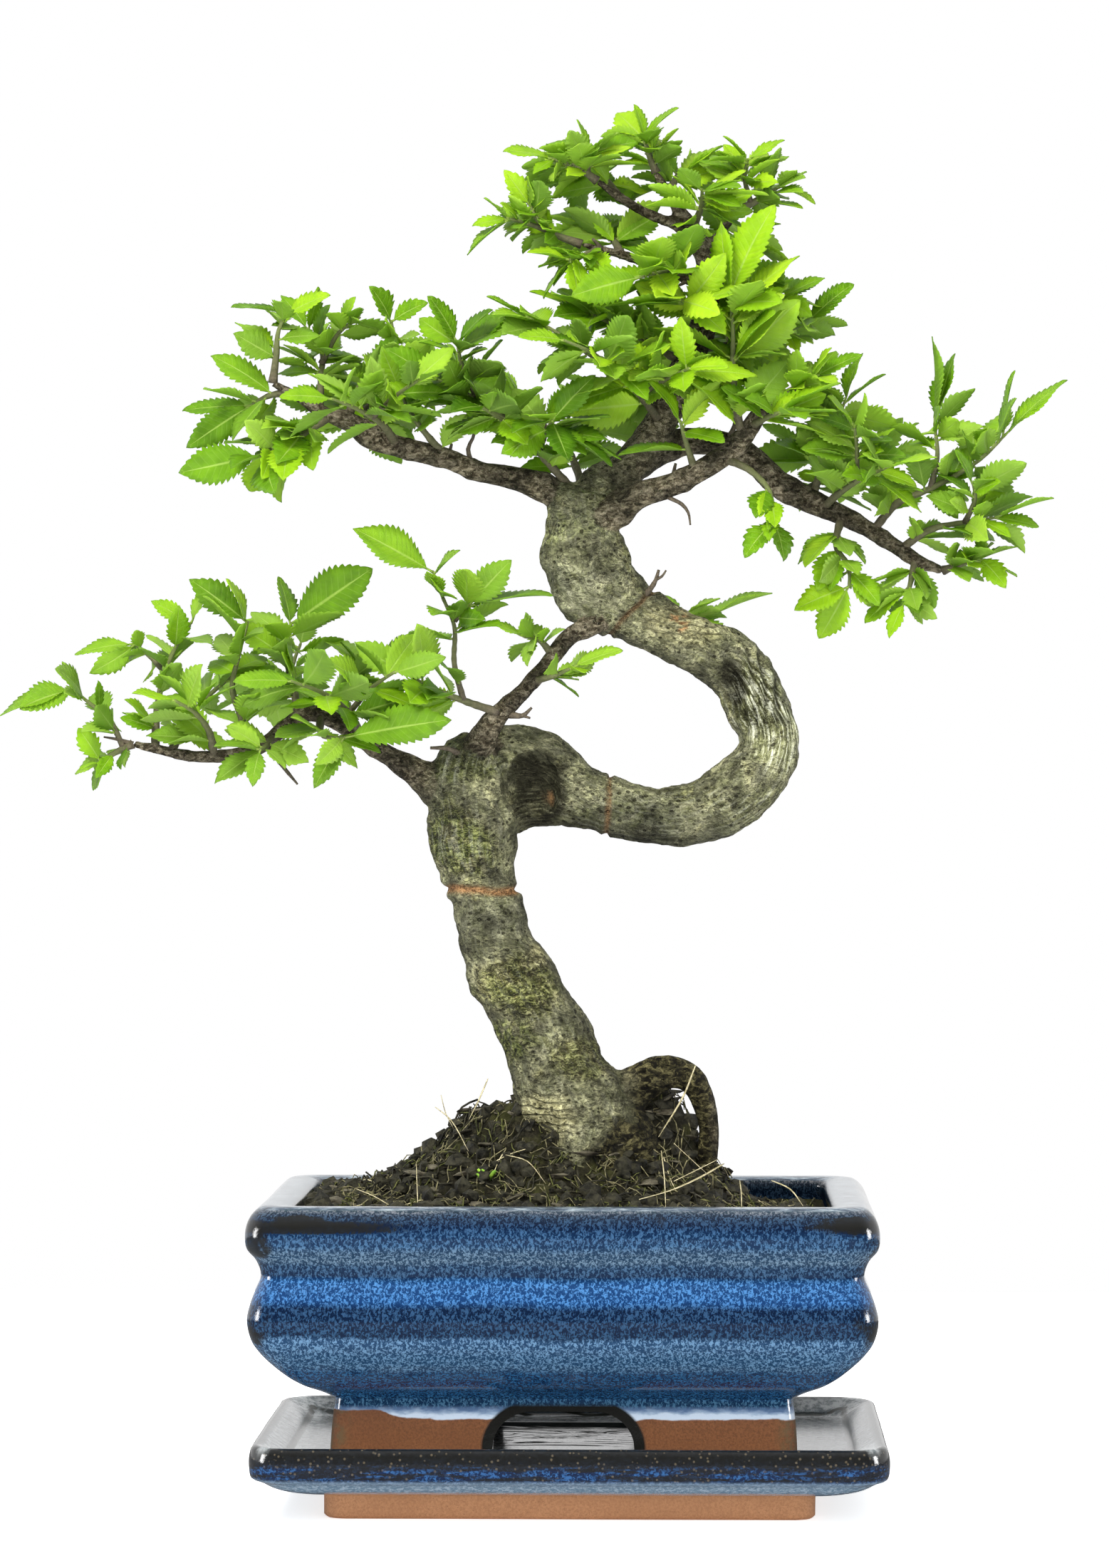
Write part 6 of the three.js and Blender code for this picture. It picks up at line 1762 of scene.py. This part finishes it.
def make_sprays():
    """One leafy piece for each spray: its twigs, a stalk to each leaf that stands off, and its leaves."""
    foliage = Foliage(wood_routes())
    place_leaves(foliage)
    more_leaves(foliage)
    for index, (name, twigs) in enumerate(SPRAYS.items()):
        shoots = []
        for one in twigs:
            first = SIDE_TWIG if shoots else MAIN_TWIG
            shoots.append(twig_mesh(one["route"], first, TWIG_END, 0.75))
        leaves = [leaf for leaf in foliage.leaves if leaf["spray"] == index]
        for leaf in leaves:
            near = nearest_on(twigs, leaf["base"])
            if np.linalg.norm(near - leaf["base"]) > STALK_LEAST:
                shoots.append(twig_mesh([near, (near + leaf["base"]) / 2, leaf["base"]], 0.5, 0.4, 1))
        leafy_piece(f"leafy_{name}", shoots, leaves, index + 1, f"spray_{name}")


def nearest_on(twigs, place):
    """The nearest point to a place on any of some twigs."""
    best = None
    for one in twigs:
        route = np.array(one["route"], float)
        a, b = route[:-1], route[1:]
        run = b - a
        t = np.clip(((place - a) * run).sum(1) / (run * run).sum(1), 0, 1)
        found = a + run * t[:, None]
        gaps = np.linalg.norm(found - place, axis=1)
        i = int(np.argmin(gaps))
        if best is None or gaps[i] < best[0]:
            best = (gaps[i], found[i])
    return best[1]


# Soil

SOIL_SIDE = [[(33.3, 41.6), (23.6, 45.3)], [(23.6, 45.3), (15.6, 56.3), (13.8, 86.3), (15.2, 93), (15.5, 96)]]


def soil_height(x, y):
    high = np.full(np.shape(x), SOIL["edge_z"], float)
    for mound in MOUNDS:
        across = (x - mound["x"]) / mound["wide_x"]
        deep = (y - mound["y"]) / mound["wide_y"]
        high += mound["high"] * np.exp(-(across**2) - deep**2)
    crumbs = np.sin(x * 0.53 + 1.3 * y) + np.sin(y * 0.71 - 0.4 * x) + np.sin(x * 0.31 - y * 0.9)
    return high + SOIL["crumb"] * crumbs * 0.6 - SOIL["sunk"] * ease(44, 66, x)


def make_soil():
    rings = profile_rings(POT, SOIL_SIDE, 6)
    rim = rings.pop()
    for i in range(SOIL["rings"]):
        share = 1 - i / SOIL["rings"]
        x, y = rim[:, 0] * share, rim[:, 1] * share
        flat = np.column_stack([x, y, soil_height(x, y)])
        lift = 1.5 * lumps(flat, 8, 3, 2) + 1.1 * lumps(flat, 2.6, 2, 4)
        flat[:, 2] += lift * ease(1.0, 0.97, share)
        rings.append(flat)
    points, faces = skin(rings)
    dress(new_object("soil_mound", points, faces), [soil_material()], "soil")


GOLD = (1 + math.sqrt(5)) / 2
ICO_CORNERS = []
for one, other in ((1, GOLD), (-1, GOLD), (1, -GOLD), (-1, -GOLD)):
    ICO_CORNERS += [(0, one, other), (one, other, 0), (other, 0, one)]
ICO_CORNERS = np.array(ICO_CORNERS)


def pebble(centre, size, flat, turn, draw):
    """A crumb: an icosahedron, knocked out of shape."""
    points = ICO_CORNERS / math.sqrt(1 + GOLD * GOLD)
    points *= np.array([[0.72 + 0.5 * draw()] for _ in points])
    points *= [1, 0.65 + 0.3 * draw(), flat]
    rotation = Matrix.Rotation(turn, 3, "Z") @ Matrix.Rotation((draw() - 0.5) * 1.1, 3, "X")
    return points @ np.array(rotation).T * size + centre


def icosahedron_faces():
    """Every three corners that are neighbours, turned so that their face looks out."""
    faces = []
    for i, j, k in itertools.combinations(range(12), 3):
        trio = ICO_CORNERS[[i, j, k]]
        if max(np.linalg.norm(trio - np.roll(trio, 1, axis=0), axis=1)) < 2.1:
            out = np.cross(trio[1] - trio[0], trio[2] - trio[0]) @ trio.sum(0)
            faces.append((i, j, k) if out > 0 else (i, k, j))
    return faces


ICO_FACES = icosahedron_faces()
# Half the width and depth that litter may lie on, and the radius of the corners
SOIL_HALF_X = 83
SOIL_HALF_Y = 58
SOIL_CORNER = 14
TURN = 6.3  # a little more than all the way round
STRIP = ((1, 0), (0, 0.16), (-1, 0), (0, -0.16))


def soil_spot(draw):
    """A place on the soil."""
    while True:
        x = (2 * draw() - 1) * SOIL_HALF_X
        y = (2 * draw() - 1) * SOIL_HALF_Y
        past_x = max(abs(x) - SOIL_HALF_X + SOIL_CORNER, 0)
        past_y = max(abs(y) - SOIL_HALF_Y + SOIL_CORNER, 0)
        if past_x**2 + past_y**2 < (SOIL_CORNER - 0.5) ** 2:
            return np.array([x, y, float(soil_height(x, y))])


def litter(name, count, seed, sizes, flats, material):
    """Crumbs over the soil, most of them small. They stand higher up towards the trunk."""
    draw = draws(seed)
    parts = []
    for _ in range(count):
        spot = soil_spot(draw)
        size = sizes[0] + (sizes[1] - sizes[0]) * draw() ** 3
        spot[2] += size * 0.2
        flat = flats[0] + (flats[1] - flats[0]) * draw()
        parts.append((pebble(spot, size, flat, TURN * draw(), draw), ICO_FACES))
    place_litter(name, parts, material, True)


def blade(route, wide, lift=(0, 0, 1)):
    """A flat thin strip along a route."""
    stations = smooth_route([[*p, 1] for p in route], 2)[:, :3]
    along = np.gradient(stations, axis=0)
    rings = []
    count = len(stations)
    for i, centre in enumerate(stations):
        side = unit(np.cross(along[i], lift))
        up = unit(np.cross(side, along[i]))
        half = wide * (0.35 + 0.65 * math.sin(math.pi * min(1, (i + 0.5) / count * 1.15)) ** 0.5) / 2
        rings.append(np.array([centre + side * a * half + up * b for a, b in STRIP]))
    return skin(rings)


def on_soil(spot, above):
    """The spot moved to some way above the soil."""
    return np.array([spot[0], spot[1], float(soil_height(spot[0], spot[1])) + above])


def fibre(start, long, thick, rise, draw):
    """A thin root that wanders over the soil."""
    turn = 2 * math.pi * draw()
    route = [start]
    for _ in range(3):
        turn += 1.6 * (draw() - 0.5)
        spot = route[-1] + np.array([math.cos(turn), math.sin(turn), 0]) * long / 3
        route.append(on_soil(spot, rise * draw()))
    return tube(smooth_route([[*p, thick] for p in route], 2.4), 4)


def make_fibres(name, count, seed, thick, long, rise, material):
    draw = draws(seed)
    parts = []
    while len(parts) < count:
        start = on_soil(soil_spot(draw), rise * draw())
        span = long * (0.5 + draw())
        if max(abs(start[0]) + span - SOIL_HALF_X, abs(start[1]) + span - SOIL_HALF_Y) < 1:
            parts.append(fibre(start, span, thick * (0.7 + 0.6 * draw()), rise, draw))
    place_litter(name, parts, material)


# Straws with their widths
LYING_STRAWS = [
    ([[51, -26, 111], [43, -33, 107], [34, -40, 103.5], [24, -46, 101]], 1.8),
    ([[49, -22, 112], [42, -29, 109], [35, -35, 106]], 0.6),
    ([[-66, -44, 104], [-60, -49, 102], [-54, -53, 99]], 0.5),
]
STANDING_STRAWS = [
    ([[42, -14, 142], [38, -15, 132], [30, -18, 119]], 0.65),
    ([[-25, -22, 138], [-28, -24, 131], [-31, -25, 125]], 0.5),
    ([[-42, -24, 129], [-37, -25, 125], [-31, -28, 115]], 0.4),
    ([[-40, -26, 133], [-38.5, -25, 127], [-36, -24, 122]], 0.3),
    ([[31, -38, 116], [32, -44, 108], [32.5, -52, 98.5]], 0.45),
    ([[56, -44, 107], [56.5, -48, 103], [56.5, -52, 98]], 0.4),
    ([[66, -44, 107], [72, -48, 104.5], [76, -52, 99.5]], 0.5),
    ([[35, -32, 118], [41, -33, 112.5], [46, -34, 108]], 0.22),
    ([[-19, -30, 114], [-12, -31, 112], [-6, -33, 105]], 0.35),
    ([[-47, -44, 112], [-46.5, -48, 104], [-46, -52, 98]], 0.35),
]


# Plain materials: dark tone, light tone, how coarse the grain is, relief, roughness
PLAIN = {
    "humus": ((0.003, 0.003, 0.0019), (0.04, 0.037, 0.022), 0.25, 0.9),
    "bark_chip": ((0.012, 0.009, 0.005), (0.14, 0.125, 0.085), 0.12, 0.6),
    "straw": ((0.28, 0.24, 0.12), (0.62, 0.55, 0.34), 0.5, 0.2, 0.55),
    "moss": ((0.02, 0.025, 0.006), (0.13, 0.135, 0.04), 0.4, 0.3),
    "rootlet": ((0.035, 0.032, 0.015), (0.24, 0.215, 0.11), 0.5, 0.3),
    "sprig": ((0.1, 0.25, 0.02), (0.3, 0.5, 0.05), 0.5, 0.2),
}
# Crumbs: name, how many, seed, sizes, how flat, material
CRUMBS = [
    ("soil_crumbs", 2400, 77, (0.5, 4.2), (0.55, 1), "humus"),
    ("soil_chips", 520, 78, (1.2, 5.5), (0.12, 0.3), "bark_chip"),
]
# Roots and moss: name, how many, seed, radius, length, how far above the soil, material
FIBRES = [
    ("soil_roots", 520, 79, 0.17, 9, 3.2, "rootlet"),
    ("soil_moss", 520, 80, 0.2, 4.5, 2.8, "moss"),
    ("soil_dark_roots", 320, 81, 0.3, 11, 3.2, "humus"),
]
MORE_STRAWS = 26
SPRIG_AT = (-25, -27)


def make_litter():
    """All that lies on the soil."""
    tones = {name: plain_material(name, *values) for name, values in PLAIN.items()}
    for *values, tone in CRUMBS:
        litter(*values, tones[tone])
    for *values, tone in FIBRES:
        make_fibres(*values, tones[tone])
    draw = draws(STRAW_SEED)
    parts = [blade(route, wide) for route, wide in LYING_STRAWS]
    parts += [blade(route, wide, (0, 1, 0)) for route, wide in STANDING_STRAWS]
    for _ in range(MORE_STRAWS):
        spot = on_soil(soil_spot(draw), 1.4)
        turn = TURN * draw()
        end = spot + np.array([math.cos(turn), math.sin(turn), 0]) * (5 + 11 * draw() ** 2)
        if abs(end[0]) < SOIL_HALF_X - 3 and abs(end[1]) < SOIL_HALF_Y - 3:
            route = [spot, on_soil((spot + end) / 2, 2.4), on_soil(end, 1.6)]
            parts.append(blade(route, 0.35 + 0.4 * draw()))
    place_litter("soil_straw", parts, tones["straw"])
    parts = []
    for _ in range(5):
        start = on_soil(np.array([middle + 2 * (draw() - 0.5) for middle in SPRIG_AT]), 0)
        lean = unit(np.array([1.5 * (draw() - 0.5), draw() - 0.7, 0.9]))
        parts.append(blade([start, start + lean * 3, start + lean * 4.4 + [0, 0, -0.4]], 1.4, (0, 1, 0)))
    place_litter("soil_sprig", parts, tones["sprig"])


def place_litter(name, parts, material, crisp=False):
    made = new_object(name, *joined(parts))
    if crisp:
        made.data.shade_flat()
    dress(made, [material])


# Camera, light and floor


# How bright the world is by itself, in front, behind and above, and how bright the floor is
STUDIO = {"world": 0.2, "front": 0.1, "back": 1.0, "above": 0.5, "floor": 0.3, "floor_seen": 0.7}
# How far the floor reaches to both sides, behind and in front, in metres
FLOOR = (4, 0.7, 2.5)
FLOOR_GAP = 0.0002
# Lights: name, place, target, size in metres, watts
LIGHTS = [
    ("key_light", (-500, -1100, 1250), (0, 0, 230), (0.6, 0.6), 35),
    ("fill_light", (450, -1500, 650), (0, 0, 230), (0.8, 0.8), 12),
    ("top_light", (0, 100, 1500), (0, 0, 200), (1.3, 1.3), 8),
    ("side_light_-1", (-1500, -150, 300), (0, 0, 80), (0.3, 0.5), 10),
    ("side_light_1", (1500, -150, 300), (0, 0, 80), (0.3, 0.5), 10),
    ("back_light", (300, 1500, 900), (0, 0, 230), (0.8, 0.8), 7),
    ("low_light", (0, -1700, 160), (0, 0, 60), (2, 0.5), 8),
]


def area_light(name, place, target, size, watts, mirrored=False):
    """A soft light. One that is mirrored only shows in the gloss of things, the others never do."""
    data = bpy.data.lights.new(name, "AREA")
    data.shape = "RECTANGLE"
    data.size, data.size_y = size
    data.energy = watts
    lamp = add_object(name, data)
    lamp.visible_glossy = mirrored
    lamp.visible_diffuse = not mirrored
    lamp.location = framed(place)
    lamp.rotation_mode = "QUATERNION"
    lamp.rotation_quaternion = Vector(np.subtract(target, place)).to_track_quat("-Z", "Y")


def make_floor():
    """A white table that ends behind the pot, where the white of the world goes on."""
    side, back, front = FLOOR
    mesh = bpy.data.meshes.new("studio_floor")
    base = float(MIDDLE[2]) - FLOOR_GAP
    corners = [(-side, -front, base), (side, -front, base), (side, back, base), (-side, back, base)]
    mesh.from_pydata(corners, [], [(0, 1, 2, 3)])
    floor = add_object("studio_floor", mesh)
    s = Shader("studio_floor")
    path = s.make("ShaderNodeLightPath")
    mirrored = path.outputs["Is Glossy Ray"]
    colour = s.mix(mirrored, (0.97, 0.97, 0.97), (0.2, 0.2, 0.2))
    glow = s.mix(mirrored, [STUDIO["floor"]] * 3, (0, 0, 0))
    glow = s.mix(path.outputs["Is Camera Ray"], glow, [STUDIO["floor_seen"]] * 3)
    white = s.principled(colour, 0.8, Specular_IOR_Level=0.0, Emission_Color=glow, Emission_Strength=1.0)
    mesh.materials.append(s.done(white))


def make_world():
    """White for the camera, dimmer for what lights the things, and a room for what they mirror."""
    s = Shader("studio", bpy.data.worlds)
    path = s.make("ShaderNodeLightPath").outputs
    _, deep, high = s.split(s.make("ShaderNodeTexCoord").outputs["Generated"])
    behind = s.between(deep, -0.35, 0.3, STUDIO["front"], STUDIO["back"], "LINEAR")
    above = s.between(high, 0.45, 0.9, behind, STUDIO["above"], "LINEAR")
    mirrored = s.between(path["Is Glossy Ray"], 0, 1, STUDIO["world"], above, "LINEAR")
    seen = s.between(path["Is Camera Ray"], 0, 1, mirrored, 1, "LINEAR")
    white = s.make("ShaderNodeBackground", {"Color": (1, 1, 1), "Strength": seen}).outputs[0]
    bpy.context.scene.world = s.done(white, "ShaderNodeOutputWorld")


def make_studio():
    make_floor()
    make_world()
    for name, place, target, size, watts in LIGHTS:
        area_light(name, place, target, size, watts, name.startswith("side"))


def make_camera():
    data = bpy.data.cameras.new("camera")
    data.sensor_width = SENSOR
    data.sensor_fit = "AUTO"
    data.lens = CAMERA["lens"]
    data.clip_end = 50
    camera = add_object("camera", data)
    turn = math.radians(CAMERA["azimuth"])
    distance = CAMERA["distance"]
    place = (CAMERA["x"] + distance * math.sin(turn), -distance * math.cos(turn), CAMERA["z"])
    camera.location = framed(place)
    camera.rotation_mode = "XYZ"
    camera.rotation_euler = (math.pi / 2, 0, turn)
    bpy.context.scene.camera = camera
    bpy.context.scene.view_settings.view_transform = "Standard"


make_saucer()
make_pot()
make_wood()
make_bare_twigs()
make_sprays()
make_soil()
make_litter()
# The screens over the drain holes keep their solids' shape
screen = plain_material("screen_plastic", (0.02, 0.02, 0.02), (0.03, 0.03, 0.03), 0.5, 0.05, 0.5)
for side in ("left", "right"):
    node = bpy.data.objects[f"drain_screen_{side}"]
    node.material_slots[0].material = screen
make_studio()
make_camera()
